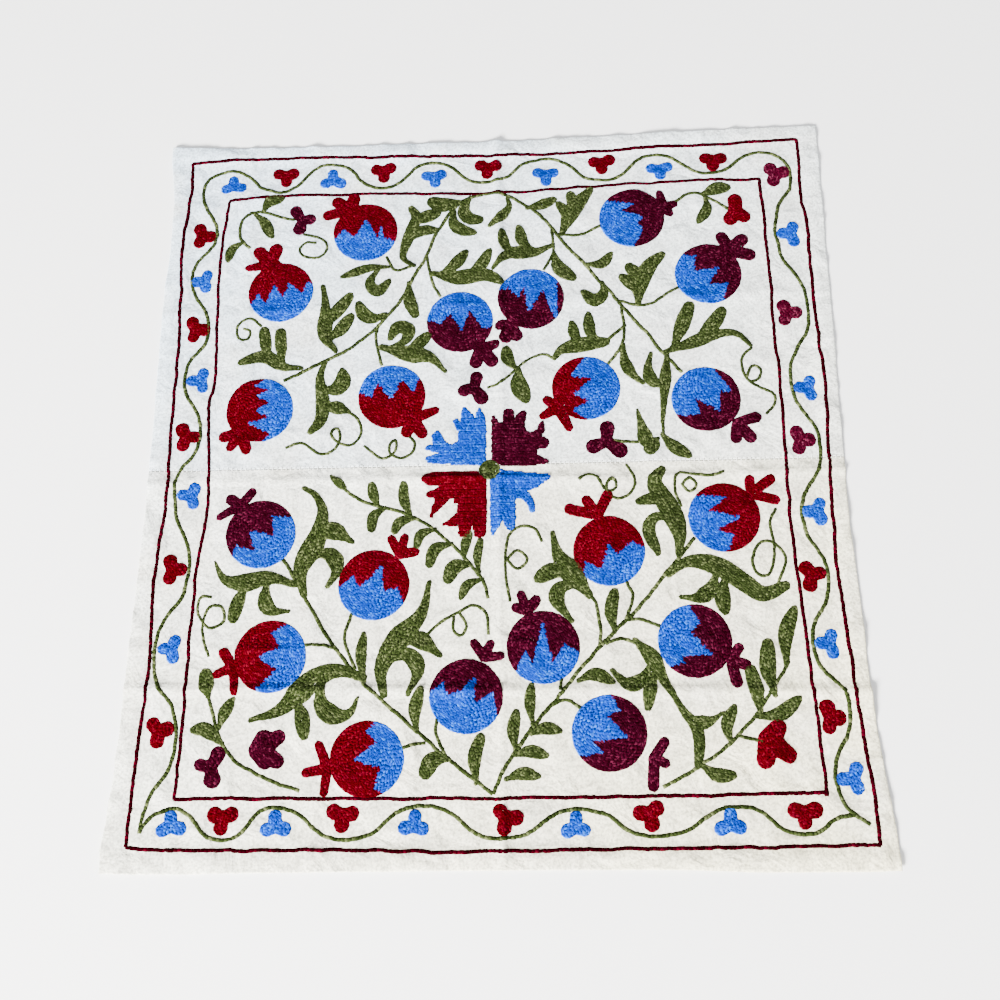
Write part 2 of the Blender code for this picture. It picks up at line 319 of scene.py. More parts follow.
# A palmette is given in its own quarter, both ways outwards from the middle. Its gap is how far
# its two straight sides stand from the middle, and its rise is the slope of the level one. It has
# blocks of (across, up), strokes of (across, up, radius), and a round notch cut out.
PALMETTES = (
    Palmette("blue", -1, 1, (0.72, -0.12), 0.055, ((4.2, 5.7), (6.6, 2.9), (4.8, 3.5)), (
        ((1.4, 4.9, 0.7), (1.45, 6.3, 0.70), (1.55, 7.45, 0.32)),
        ((3.0, 4.9, 1.0), (3.1, 6.4, 0.85), (3.5, 7.5, 0.40)),
        ((3.8, 5.0, 0.7), (4.5, 5.9, 0.42), (5.1, 6.1, 0.20)),
        ((6.3, 2.5, 0.9), (6.9, 4.0, 0.78)),
        ((6.4, 2.4, 0.8), (8.1, 2.5, 0.30)),
        ((6.0, 1.1, 0.9), (7.9, 0.95, 0.45)),
    ), ((5.15, 3.9), (5.9, 5.6), 0.95)),
    Palmette("maroon", 1, 1, (0.0, -0.12), 0.0, ((4.3, 5.6), (5.7, 4.3), (4.8, 4.9)), (
        ((0.5, 5.0, 0.7), (0.25, 6.4, 0.30)),
        ((2.2, 5.0, 0.8), (2.2, 6.85, 0.72)),
        ((3.5, 5.0, 0.9), (4.0, 6.45, 0.82)),
        ((5.2, 3.4, 0.9), (6.2, 4.7, 0.62), (6.5, 5.7, 0.22)),
        ((4.9, 2.8, 1.0), (6.5, 2.85, 0.78)),
        ((4.5, 0.8, 1.0), (6.9, 0.35, 0.32)),
    ), ((5.05, 5.25), (5.5, 6.8), 0.85)),
    Palmette("red", -1, -1, (0.68, 0.82), 0.0, ((4.3, 7.9), (6.4, 4.3), (4.8, 5.0)), (
        ((6.0, 1.7, 1.0), (7.95, 1.7, 0.85)),
        ((6.0, 3.5, 1.0), (7.8, 3.7, 0.45)),
        ((6.0, 4.0, 0.8), (7.0, 5.4, 0.52), (7.35, 6.4, 0.42)),
        ((4.0, 7.0, 0.9), (5.0, 7.5, 0.52), (6.2, 7.6, 0.18)),
        ((3.3, 7.4, 0.9), (3.4, 8.65, 0.75)),
        ((1.6, 7.4, 0.9), (1.5, 8.65, 0.80)),
    ), ((5.1, 5.75), (6.6, 6.9), 0.78)),
    Palmette("blue", 1, -1, (-0.2, 0.55), 0.105, ((2.95, 7.2), (3.9, 3.9)), (
        ((3.0, 2.4, 1.4), (5.2, 2.15, 1.05), (6.9, 1.75, 0.45)),
        ((3.2, 3.5, 0.9), (4.2, 4.1, 0.62), (4.85, 5.0, 0.45), (5.0, 6.0, 0.36)),
        ((0.8, 6.5, 1.0), (0.1, 9.0, 0.22)),
        ((1.9, 6.2, 1.0), (2.3, 7.9, 0.65)),
    ), ((3.65, 5.55), (3.65, 8.0), 0.70)),
)
CENTRE_DISC = Disc(-0.25, -0.62, 1.32)

# The two frames: corners from the top left, and the turns of each side between them
FRAMES = (
    Frame(
        "outer_frame",
        ((-41.95, 45.7), (42.1, 46.25), (43.1, -45.7), (-42.3, -45.5)),
        ((-30.9, 46.1), (-13, 45.7), (0, 45.4), (8, 45.3), (15, 45.6), (25, 45.9)),
        ((42, 37.5), (42.3, 33), (42.2, 17), (42.5, 10.5), (42, 0), (41.6, -13.8),
         (42.3, -28.8), (43.1, -41)),
        ((24.4, -45.9), (-4.5, -46.2), (-17, -45.9), (-36.8, -45.9)),
        ((-42.1, -36.7), (-41.5, -24.2), (-41.9, -15), (-41.3, -3.6), (-41.6, 6.6),
         (-41.5, 15), (-42.2, 31.8), (-41.7, 40.9)),
    ),
    Frame(
        "inner_frame",
        ((-36.3, 39.5), (36.5, 40.4), (37.7, -40.0), (-37.2, -40.25)),
        ((-29.7, 40.05), (-15, 40), (0, 39.5), (15, 40.1), (25, 40.3)),
        ((36.8, 34), (36.75, 22), (36.9, 9), (36.6, -9.3), (37.1, -19.7), (37.8, -38.5)),
        ((24, -40.25), (-8.6, -40.4), (-24, -40.25)),
        ((-36.9, -32), (-36.8, -15), (-36, -3.6), (-36.8, 8.2), (-36.4, 13.5), (-36.9, 30)),
    ),
)

# The border's vine: waves by the places where they turn back, and curves round the corners
VINES = (
    (
        Run("wave", (
            (-40.9, -44.0), (-37.5, -33.5), (-41.1, -23.2), (-37.7, -13.2), (-40.4, -2.4),
            (-37.7, 4.8), (-40.4, 13.4), (-37.7, 19.7), (-40.6, 27.7), (-37.6, 34.7),
        )),
        Run("curve", ((-38.4, 36.9), (-39.6, 38.8), (-40.1, 41.0), (-39.5, 43.1), (-38.1, 44.1))),
        Run("wave", (
            (-36.5, 44.4), (-29.3, 40.7), (-22.2, 44.9), (-14.8, 40.9), (-8.0, 44.7),
            (-0.8, 41.2), (7.5, 44.6), (15.4, 41.0), (22.8, 44.7), (30.0, 41.4), (37.0, 44.5),
        )),
        Run("curve", ((38.8, 44.1), (40.3, 42.7), (40.9, 40.8), (40.6, 38.8), (39.5, 37.2),
                      (38.5, 35.2))),
        Run("wave", (
            (38.1, 32.0), (41.4, 20.5), (38.2, 10.5), (41.2, 1.2), (38.1, -7.2), (40.5, -15.4),
            (37.9, -23.1), (41.4, -31.0), (39.0, -38.6),
        )),
        Run("curve", ((39.3, -40.5), (40.0, -41.9), (40.8, -42.5), (42.3, -43.5))),
    ),
    (
        Run("wave", (
            (40.8, -42.5), (34.9, -44.5), (28.2, -41.5), (18.7, -44.7), (10.0, -41.7),
            (1.0, -44.9), (-7.9, -41.2), (-17.0, -44.9), (-25.2, -41.3), (-31.0, -44.8),
            (-37.5, -41.3),
        )),
        Run("curve", ((-39.3, -42.0), (-40.4, -43.1), (-40.9, -44.0))),
    ),
)

MAIN_STEMS = (
    ((-27.2, 12.3), (-22.2, 14.7), (-17.5, 17.5), (-12.9, 22.3), (-9.5, 28.6), (-7.0, 34.1),
     (-4.3, 38.0), (-0.2, 39.5), (2.8, 38.6), (6.9, 35.5), (10.3, 30.9), (14.4, 25.7),
     (18.5, 20.2), (22.1, 15.2), (24.6, 12.1)),
    ((0.0, -39.9), (-5.4, -35.8), (-10.2, -31.7), (-15.0, -27.4), (-18.8, -23.1),
     (-22.5, -17.4), (-25.9, -11.8)),
    ((0.0, -39.9), (2.5, -35.4), (6.9, -29.9), (12.5, -23.5), (18.0, -18.1), (24.8, -10.0)),
)
BRANCHES = (
    ((-8.8, 30.3), (-7.9, 26.4), (-6.7, 23.9)),
    ((8.3, 33.5), (8.3, 30.0), (7.1, 27.4)),
    ((9.1, 32.6), (12.0, 32.6), (14.8, 34.0)),
    ((16.9, 22.4), (20.7, 21.9), (24.8, 24.4)),
    ((17.3, 21.6), (17.3, 16.8), (15.2, 13.5)),
    ((-15.0, 20.0), (-15.2, 17.3), (-14.3, 14.0)),
    ((-10.4, 28.6), (-12.8, 28.1), (-14.1, 30.2)),
    ((-18.9, -23.0), (-20.6, -22.5), (-22.6, -22.4)),
    ((-16.5, -25.5), (-17.9, -22.0), (-17.0, -18.6)),
    ((-7.9, -34.1), (-9.3, -34.2), (-10.6, -34.5)),
    ((-5.4, -35.7), (-6.7, -33.0), (-6.6, -31.3)),
    ((8.0, -28.2), (8.1, -26.8)),
    ((6.9, -29.9), (8.5, -29.3), (10.4, -30.4)),
    ((16.2, -20.0), (18.0, -20.0), (20.1, -20.8)),
    ((16.2, -19.9), (17.0, -17.2), (16.3, -15.2)),
)
TENDRILS = (
    ((-30.6, 20.2), (-32.2, 21.4), (-33.8, 20.4), (-33.6, 18.6), (-32.4, 18.4), (-32.1, 19.6),
     (-33.0, 19.9)),
    ((-18.6, 7.8), (-17.2, 6.6), (-16.7, 4.7), (-18.0, 3.1), (-19.8, 3.6), (-20.6, 4.7),
     (-19.9, 5.5), (-19.4, 4.2), (-20.2, 2.5), (-22.0, 2.0), (-24.3, 3.5), (-26.4, 2.9)),
    ((-16.3, 3.0), (-15.0, 1.9), (-13.8, 1.2), (-12.4, 2.0), (-12.2, 3.6), (-12.9, 3.3),
     (-13.0, 2.0), (-11.6, 1.2), (-10.1, 1.9), (-9.8, 3.2), (-10.5, 4.1)),
    ((-0.5, 10.6), (1.2, 11.2), (3.2, 13.0), (4.8, 14.4), (6.8, 15.0), (8.3, 14.3)),
    ((33.7, 15.3), (32.3, 13.8), (32.6, 11.2), (34.2, 9.8), (36.0, 8.8), (35.9, 7.3),
     (34.8, 6.1)),
    ((32.7, 11.1), (33.5, 12.7), (34.6, 12.2), (34.2, 10.9), (33.1, 10.5)),
    ((10.9, -2.2), (11.9, -1.5), (13.1, -1.8), (14.3, -3.6), (15.5, -3.3), (15.3, -2.2),
     (14.5, -2.5), (14.4, -3.8), (15.6, -4.7), (17.2, -4.1), (17.9, -2.4), (16.9, -0.2)),
    ((23.5, -5.9), (22.8, -3.8), (23.2, -1.6), (25.2, -1.8), (27.4, -2.0), (28.9, -1.5)),
    ((23.7, -3.1), (24.6, -4.0), (25.5, -3.1), (24.6, -2.2), (23.7, -3.1)),
    ((35.0, -6.4), (34.1, -8.2), (34.4, -11.4), (33.6, -14.5), (32.2, -14.7), (31.6, -12.9),
     (32.6, -10.8), (34.3, -10.7), (35.6, -12.8), (34.4, -15.9)),
    ((6.2, -10.1), (5.3, -8.4), (3.6, -8.1), (2.2, -9.1), (1.7, -11.4), (1.7, -14.4),
     (2.2, -17.5)),
    ((1.85, -12.3), (3.1, -13.5), (4.35, -12.3), (3.1, -11.1), (1.85, -12.3)),
    ((-7.9, -21.4), (-6.3, -20.0), (-4.0, -18.7), (-2.2, -17.9), (-0.7, -19.0), (-0.45, -21.5)),
    ((-4.6, -19.3), (-4.7, -20.8), (-3.8, -21.6), (-3.1, -20.4), (-3.9, -18.9)),
    ((-34.5, -16.4), (-35.9, -16.4), (-36.1, -18.3), (-34.6, -20.2), (-32.8, -19.4),
     (-33.2, -17.6), (-34.8, -17.8), (-35.4, -19.9), (-35.0, -22.0), (-34.3, -23.7)),
    ((-25.6, 33.9), (-22.9, 33.0), (-22.3, 31.6), (-23.4, 30.3), (-25.3, 30.5), (-26.1, 31.6),
     (-25.2, 32.6), (-23.8, 32.5)),
)
SPRIG_STEMS = (
    ((-32.9, 32.0), (-34.4, 33.8), (-34.2, 36.6), (-32.0, 37.7), (-29.3, 36.9), (-27.0, 36.25)),
    ((25.0, 37.2), (27.3, 38.5), (30.0, 37.4), (32.1, 35.8)),
    ((-20.2, -1.3), (-16.3, -4.4), (-10.0, -6.5), (-5.0, -10.2), (-1.3, -14.5), (-0.4, -17.0)),
    ((-22.5, -39.5), (-27.7, -37.5), (-31.3, -34.9), (-33.4, -30.4), (-34.2, -27.0)),
    ((19.5, -39.3), (25.7, -35.8), (30.0, -32.0), (33.5, -27.4), (34.8, -25.1)),
    ((12.8, -23.1), (13.0, -20.8), (12.6, -18.0), (11.6, -16.7)),
    ((13.5, -22.8), (15.3, -22.3), (17.3, -22.7)),
    ((14.8, 16.4), (17.6, 19.0)),
    ((21.75, 5.2), (21.75, 3.8)),
    ((21.2, 3.1), (18.0, 2.8), (15.5, 3.1)),
    ((28.2, -33.6), (31.2, -34.3)),
)

# Each spray is sewn as one shape: a blade with its lobes
SPRAYS = (
    (Leaf(1.3, ((-31.5, 37.7), (-30.6, 39.2), (-28.9, 39.7))),),
    (Leaf(1.3, ((-32.5, 37.3), (-31.2, 36.0), (-30.1, 33.8))),),
    (Leaf(1.1, ((-33.9, 33.0), (-35.4, 32.0), (-35.9, 30.2))),),
    (Leaf(1.5, ((-25.0, 14.0), (-27.5, 14.3), (-30.0, 15.8), (-33.1, 15.0))),
     Leaf(1.3, ((-29.4, 15.4), (-29.8, 17.0), (-30.2, 19.4)), 0.9),
     Leaf(1.3, ((-27.4, 14.8), (-27.8, 17.0), (-28.0, 19.2)), 0.9)),
    (Leaf(1.7, ((-20.5, 16.4), (-22.0, 18.5), (-22.1, 22.7), (-22.6, 25.9)), 0.3, 0.4),
     Leaf(1.5, ((-21.7, 20.0), (-20.6, 22.0), (-18.9, 24.3)), 0.6),
     Leaf(1.5, ((-21.6, 18.0), (-20.2, 19.2), (-18.7, 21.3)), 0.6)),
    (Leaf(1.5, ((-14.1, 21.5), (-15.5, 20.9), (-17.0, 21.6), (-17.7, 23.2))),),
    (Leaf(1.1, ((-13.8, 28.6), (-16.8, 28.4), (-20.0, 27.3))),
     Leaf(1.3, ((-15.2, 28.2), (-16.3, 26.2), (-15.2, 24.9), (-13.7, 26.4)))),
    (Leaf(1.3, ((-10.4, 28.6), (-11.9, 30.0), (-11.2, 33.0), (-10.2, 35.9), (-10.9, 37.5)), 0.6),
     Leaf(1.6, ((-10.6, 35.2), (-9.2, 36.0), (-7.3, 36.6)), 0.6),
     Leaf(1.3, ((-11.2, 32.5), (-9.4, 33.9), (-7.3, 34.0)))),
    (Leaf(1.8, ((-4.2, 38.2), (-6.4, 37.8), (-8.0, 38.4)), 0.7),),
    (Leaf(1.5, ((-2.9, 38.9), (-3.7, 36.8), (-2.9, 35.6), (-1.6, 35.4)), 0.7),),
    (Leaf(1.4, ((-5.0, 37.0), (-5.1, 35.0), (-4.0, 33.9), (-2.3, 33.4))),),
    (Leaf(1.1, ((2.3, 38.6), (2.5, 37.3), (1.4, 35.7), (-0.1, 34.5))),),
    (Leaf(1.3, ((5.0, 37.0), (6.8, 37.4), (8.7, 38.2)), 0.5),),
    (Leaf(1.8, ((9.6, 32.8), (10.5, 35.0), (12.0, 37.5), (13.7, 39.6)), 0.4, 0.42),
     Leaf(1.2, ((10.2, 34.0), (10.2, 36.0), (9.2, 37.6)), 0.5),
     Leaf(1.3, ((10.9, 35.6), (11.2, 37.4), (10.9, 38.9)), 0.7)),
    (Leaf(1.6, ((8.2, 31.1), (5.7, 30.1), (2.5, 30.0), (0.3, 28.0)), 0.3, 0.55),
     Leaf(1.2, ((3.3, 30.4), (2.0, 31.2), (1.5, 33.4)), 0.5),
     Leaf(1.3, ((5.8, 30.5), (4.4, 31.6), (3.8, 34.1)), 0.4)),
    (Leaf(1.8, ((-7.7, 27.3), (-4.6, 26.6), (-0.8, 27.0), (1.4, 25.7)), 0.4, 0.45),
     Leaf(1.4, ((-6.8, 27.2), (-4.8, 28.6), (-3.4, 30.5)), 0.5),
     Leaf(1.4, ((-3.4, 26.9), (-1.4, 28.4), (-0.2, 30.5)), 0.5)),
    (Leaf(1.6, ((8.5, 29.8), (9.1, 27.7), (10.9, 26.2)), 0.6),),
    (Leaf(1.2, ((12.8, 28.0), (14.8, 28.1), (16.1, 29.5))),),
    (Leaf(1.5, ((14.8, 25.2), (14.9, 23.6), (13.6, 22.7), (12.3, 23.9))),),
    (Leaf(1.4, ((-11.0, 26.1), (-10.9, 23.6), (-10.1, 21.4)), 0.7),),
    (Leaf(2.0, ((-14.5, 16.7), (-11.5, 15.8), (-8.0, 15.0), (-6.0, 13.0)), 0.2, 0.5),
     Leaf(1.5, ((-13.2, 16.6), (-11.3, 17.6), (-10.9, 19.1), (-12.3, 19.6), (-13.3, 18.0))),
     Leaf(1.4, ((-11.0, 16.2), (-9.6, 17.0), (-8.3, 18.3)), 0.6)),
    (Leaf(1.5, ((-21.8, 14.8), (-22.4, 12.5), (-21.9, 9.0), (-22.1, 6.4), (-23.3, 5.0))),
     Leaf(1.8, ((-21.9, 11.0), (-20.4, 10.8), (-19.4, 11.9), (-19.5, 13.4)), 0.4),
     Leaf(1.5, ((-21.9, 8.5), (-20.4, 8.4), (-18.4, 7.7)), 0.3)),
    (Leaf(1.4, ((3.2, 13.2), (2.2, 14.4), (2.0, 16.0)), 0.5),),
    (Leaf(1.9, ((3.5, 12.9), (3.6, 10.7), (4.5, 8.8))),),
    (Leaf(1.7, ((8.3, 14.6), (9.3, 15.7), (11.6, 16.3), (15.0, 16.6)), 0.5, 0.5),
     Leaf(1.2, ((12.0, 16.4), (11.0, 17.5), (10.6, 19.5))),
     Leaf(1.3, ((14.2, 16.6), (13.0, 18.0), (12.8, 20.7)))),
    (Leaf(1.9, ((19.4, 22.0), (19.8, 25.0), (21.2, 27.6), (22.9, 29.2)), 0.4, 0.42),
     Leaf(1.4, ((19.5, 23.5), (18.6, 25.0), (17.3, 26.1))),
     Leaf(1.5, ((19.7, 24.4), (19.2, 26.4), (18.5, 27.5)), 0.7)),
    (Leaf(1.5, ((22.5, 15.0), (25.5, 16.0), (29.6, 17.4), (32.0, 17.2), (33.5, 15.7)), 0.3, 0.42),
     Leaf(1.6, ((23.6, 15.6), (24.9, 18.6), (26.0, 21.4)), 0.75),
     Leaf(1.6, ((26.6, 16.6), (28.8, 18.6), (30.2, 20.6)), 0.7)),
    (Leaf(1.3, ((17.2, 16.2), (17.3, 13.8), (18.2, 12.0), (19.5, 10.7)), 0.3),),
    (Leaf(1.3, ((22.8, 14.8), (22.5, 12.3), (22.1, 8.9), (21.75, 5.3)), 0.3, 0.4),
     Leaf(1.4, ((22.3, 10.4), (20.8, 10.8), (20.2, 12.5), (20.7, 14.8)), 0.3, 0.4)),
    (Leaf(1.4, ((21.6, 3.6), (22.8, 2.1), (24.8, 0.7))),),
    (Leaf(1.6, ((20.2, 1.4), (19.4, 3.4), (18.6, 7.0)), 0.2, 0.35),),
    (Leaf(1.5, ((20.8, 2.9), (20.0, 1.7)), 0.9),),
    (Leaf(1.5, ((28.9, 38.2), (30.6, 39.0), (32.3, 39.2))),),
    (Leaf(1.2, ((29.1, 37.7), (29.3, 36.0), (28.0, 34.0))),),
    # the fern
    (Leaf(0.9, ((-20.4, -1.1), (-18.6, -2.6))),),
    (Leaf(1.1, ((-14.3, -5.0), (-14.9, -3.6), (-15.1, -2.5)), 0.8),),
    (Leaf(1.1, ((-10.1, -6.5), (-11.0, -4.4), (-11.1, -2.5)), 0.8),),
    (Leaf(1.1, ((-13.4, -5.4), (-14.8, -6.4), (-15.0, -8.0)), 0.8),),
    (Leaf(1.1, ((-9.6, -6.8), (-11.4, -7.2), (-12.1, -8.4)), 0.7),),
    (Leaf(1.0, ((-7.0, -8.3), (-8.8, -8.9), (-9.3, -10.4)), 0.7),),
    (Leaf(1.2, ((-5.0, -10.2), (-7.0, -10.8), (-7.7, -12.7)), 0.7),),
    (Leaf(1.0, ((-3.4, -12.0), (-3.3, -10.4), (-2.8, -8.9)), 0.7),),
    (Leaf(0.9, ((-1.6, -13.9), (-1.8, -11.8), (-1.4, -9.8)), 0.7),),
    (Leaf(1.5, ((-2.7, -12.8), (-4.6, -13.1), (-5.3, -14.5)), 0.8),),
    (Leaf(1.0, ((-1.2, -14.7), (-3.0, -15.4), (-3.8, -17.0))),),
    # the lower field, from the left
    (Leaf(2.3, ((-23.1, -16.3), (-23.6, -13.0), (-22.0, -9.6), (-21.2, -6.0), (-22.2, -3.6),
                (-23.7, -2.6)), 0.2, 0.42),
     Leaf(1.9, ((-21.9, -9.2), (-19.9, -8.2), (-17.4, -9.7)), 0.25, 0.5),
     Leaf(1.7, ((-22.4, -11.2), (-20.0, -11.3), (-19.1, -13.2), (-20.2, -15.3)), 0.25, 0.5)),
    (Leaf(1.9, ((-24.3, -15.0), (-27.5, -14.1), (-30.6, -14.7), (-33.1, -14.2), (-34.5, -11.9)),
          0.12, 0.55),
     Leaf(1.4, ((-30.3, -15.0), (-31.2, -17.0), (-31.7, -19.0)), 0.8),
     Leaf(1.6, ((-27.7, -14.8), (-27.9, -16.9), (-27.0, -18.2), (-24.9, -18.3)), 0.2, 0.5)),
    (Leaf(2.3, ((-15.4, -26.5), (-18.6, -25.6), (-21.6, -26.8), (-25.2, -30.1), (-28.7, -31.3)),
          0.2, 0.55),
     Leaf(1.5, ((-23.4, -29.0), (-22.6, -31.0), (-22.2, -33.2)), 0.6),
     Leaf(1.9, ((-20.4, -27.0), (-20.4, -29.5), (-18.8, -30.9), (-16.9, -30.6), (-16.0, -28.8)),
          0.15, 0.5)),
    (Leaf(1.1, ((-15.3, -27.0), (-15.8, -24.0), (-15.5, -21.3))),),
    (Leaf(2.3, ((-12.9, -28.5), (-13.3, -25.4), (-11.4, -22.0), (-8.6, -18.9), (-7.7, -15.0)),
          0.2, 0.5),
     Leaf(1.8, ((-11.0, -22.2), (-8.8, -22.0), (-6.3, -23.9)), 0.3, 0.5),
     Leaf(1.7, ((-12.6, -24.4), (-10.2, -23.8), (-8.9, -25.6), (-10.0, -28.5)), 0.25, 0.5)),
    (Leaf(1.3, ((-8.9, -32.75), (-9.2, -30.4), (-8.5, -27.9))),),
    (Leaf(1.6, ((-5.3, -36.0), (-7.0, -36.1), (-7.8, -37.5)), 0.8),),
    (Leaf(1.3, ((-1.9, -38.7), (-2.1, -35.8), (-1.4, -33.6)), 0.7),),
    (Leaf(1.6, ((-34.0, -28.4), (-34.3, -27.2), (-34.5, -25.9)), 0.8),),
    (Leaf(1.2, ((-32.5, -32.2), (-32.0, -30.6), (-31.1, -28.9))),),
    (Leaf(1.4, ((-32.0, -34.0), (-34.0, -32.4), (-35.6, -32.4))),),
    (Leaf(2.3, ((11.8, -16.9), (9.8, -14.2), (8.1, -11.8), (7.5, -9.0)), 0.2, 0.42),
     Leaf(1.7, ((9.4, -14.2), (7.4, -13.8), (5.7, -14.7)), 0.6),
     Leaf(1.6, ((10.4, -15.6), (8.3, -15.9), (7.9, -17.6), (9.6, -20.0)), 0.25, 0.5)),
    (Leaf(2.1, ((22.8, -12.0), (23.0, -9.3), (22.0, -6.2), (20.3, -2.8), (21.3, -1.1)), 0.4, 0.45),
     Leaf(1.2, ((22.0, -5.6), (20.0, -4.9), (18.1, -5.2))),
     Leaf(1.3, ((22.4, -7.6), (20.2, -7.2), (19.3, -8.9), (20.3, -11.8)))),
    (Leaf(1.9, ((21.4, -14.5), (24.0, -12.9), (27.5, -13.6), (30.6, -15.8), (32.6, -17.1),
                (35.3, -16.1)), 0.5, 0.45),
     Leaf(1.6, ((27.2, -14.4), (26.4, -16.3), (24.9, -17.4), (22.7, -17.3)), 0.2, 0.5),
     Leaf(1.6, ((28.2, -15.0), (27.7, -17.0), (27.9, -19.1)), 0.5)),
    (Leaf(1.3, ((14.7, -21.4), (14.3, -19.0), (14.8, -16.6)), 0.7),),
    (Leaf(1.6, ((17.0, -22.4), (19.0, -24.6), (20.3, -27.4), (21.8, -29.9)), 0.30, 0.36),
     Leaf(1.1, ((20.9, -28.6), (22.3, -30.8), (23.6, -32.6), (23.9, -34.5), (23.6, -37.0)), 0.6, 0.6),
     Leaf(1.3, ((22.9, -31.6), (24.9, -32.1), (26.9, -31.0)), 0.15, 0.4),
     Leaf(1.3, ((19.3, -26.0), (18.6, -28.0), (18.2, -30.3)), 0.5),
     Leaf(1.5, ((18.7, -25.4), (17.6, -27.1), (15.9, -27.6), (14.2, -26.0)), 0.3, 0.5)),
    (Leaf(1.3, ((10.2, -27.1), (12.2, -26.4), (14.1, -27.3)), 0.5),),
    (Leaf(1.1, ((4.7, -32.0), (4.4, -29.8), (4.6, -27.6))),),
    (Leaf(1.2, ((2.7, -35.1), (2.4, -32.9), (2.8, -30.7)), 0.5),),
    (Leaf(1.2, ((4.5, -33.2), (6.2, -32.6), (7.8, -32.9))),),
    (Leaf(1.2, ((2.5, -35.6), (4.4, -35.2), (6.2, -35.7))),),
    (Leaf(1.2, ((1.6, -38.3), (3.4, -37.7), (5.2, -38.0))),),
    (Leaf(1.3, ((24.1, -37.0), (25.6, -38.0), (27.5, -38.1)), 0.6),),
    (Leaf(1.2, ((27.5, -34.5), (27.2, -32.4), (28.2, -30.4))),),
    (Leaf(1.4, ((31.2, -31.2), (30.9, -28.8), (30.4, -26.2)), 0.8),),
    (Leaf(1.6, ((32.9, -29.0), (32.4, -26.0), (32.6, -23.1)), 0.7),),
    (Leaf(1.4, ((30.7, -31.5), (33.4, -31.2), (35.7, -29.5))),),
    (Leaf(1.5, ((34.6, -25.6), (34.8, -22.0), (36.1, -18.9))),),
)


def settings():
    return bpy.context.scene.suzani_sizes


def metres(label, *, minimum, maximum, default, text):
    """A size property in metres."""
    return bpy.props.FloatProperty(
        name=label,
        description=text,
        default=default,
        min=minimum,
        max=maximum,
        subtype="DISTANCE",
        unit="LENGTH",
        precision=5,
    )


def colour(label, default, text):
    """A colour property."""
    return bpy.props.FloatVectorProperty(
        name=label, description=text, default=default, min=0.0, max=1.0, subtype="COLOR"
    )


class SuzaniColours(bpy.types.PropertyGroup):
    """The middle tones of the threads, and the dye of the cotton."""

    red: colour("Red thread", THREADS["red"].middle, "Fruits, flowers and a palmette")
    maroon: colour("Maroon thread", THREADS["maroon"].middle, "Fruits, flowers and a palmette")
    rose: colour("Rose thread", THREADS["rose"].middle, "Faded maroon flowers of the border")
    blue: colour("Blue thread", THREADS["blue"].middle, "Fruits, flowers and two palmettes")
    green: colour("Green thread", THREADS["green"].middle, "Leaves, stems, the vine and the centre")
    dark: colour("Dark thread", THREADS["dark"].middle, "The two frames")
    cotton: colour("Cotton dye", (1.0, 1.0, 1.0), "Dye of both panels, undyed when it is white")


class SuzaniSizes(bpy.types.PropertyGroup):
    """The sizes that the cloth and the stitching are worked to."""

    link_length: metres(
        "Link length",
        minimum=0.003,
        maximum=0.01,
        default=0.0046,
        text="Length of one chain stitch in a filled shape",
    )
    row_width: metres(
        "Row width",
        minimum=0.0018,
        maximum=0.005,
        default=0.0026,
        text="Distance between two rows of chain stitch",
    )
    link_height: metres(
        "Link height",
        minimum=0.0003,
        maximum=0.003,
        default=0.0013,
        text="How far a stitch stands off the cloth",
    )
    line_length: metres(
        "Line link length",
        minimum=0.003,
        maximum=0.01,
        default=0.0044,
        text="Length of one chain stitch in a line",
    )
    line_width: metres(
        "Line width",
        minimum=0.0015,
        maximum=0.005,
        default=0.0038,
        text="Width of a line of chain stitch",
    )
    cloth_cell: metres(
        "Cloth cell",
        minimum=0.003,
        maximum=0.02,
        default=0.0046,
        text="Distance between two lines of the cloth's mesh",
    )
    cloth_ply: metres(
        "Ply",
        minimum=0.0005,
        maximum=0.003,
        default=0.0012,
        text="Thickness of the cloth away from its hem",
    )


# The cloth's shape


def field(points, values):
    """Reads a line of values at any place between its points."""
    return lambda at: np.interp(at, points, values)


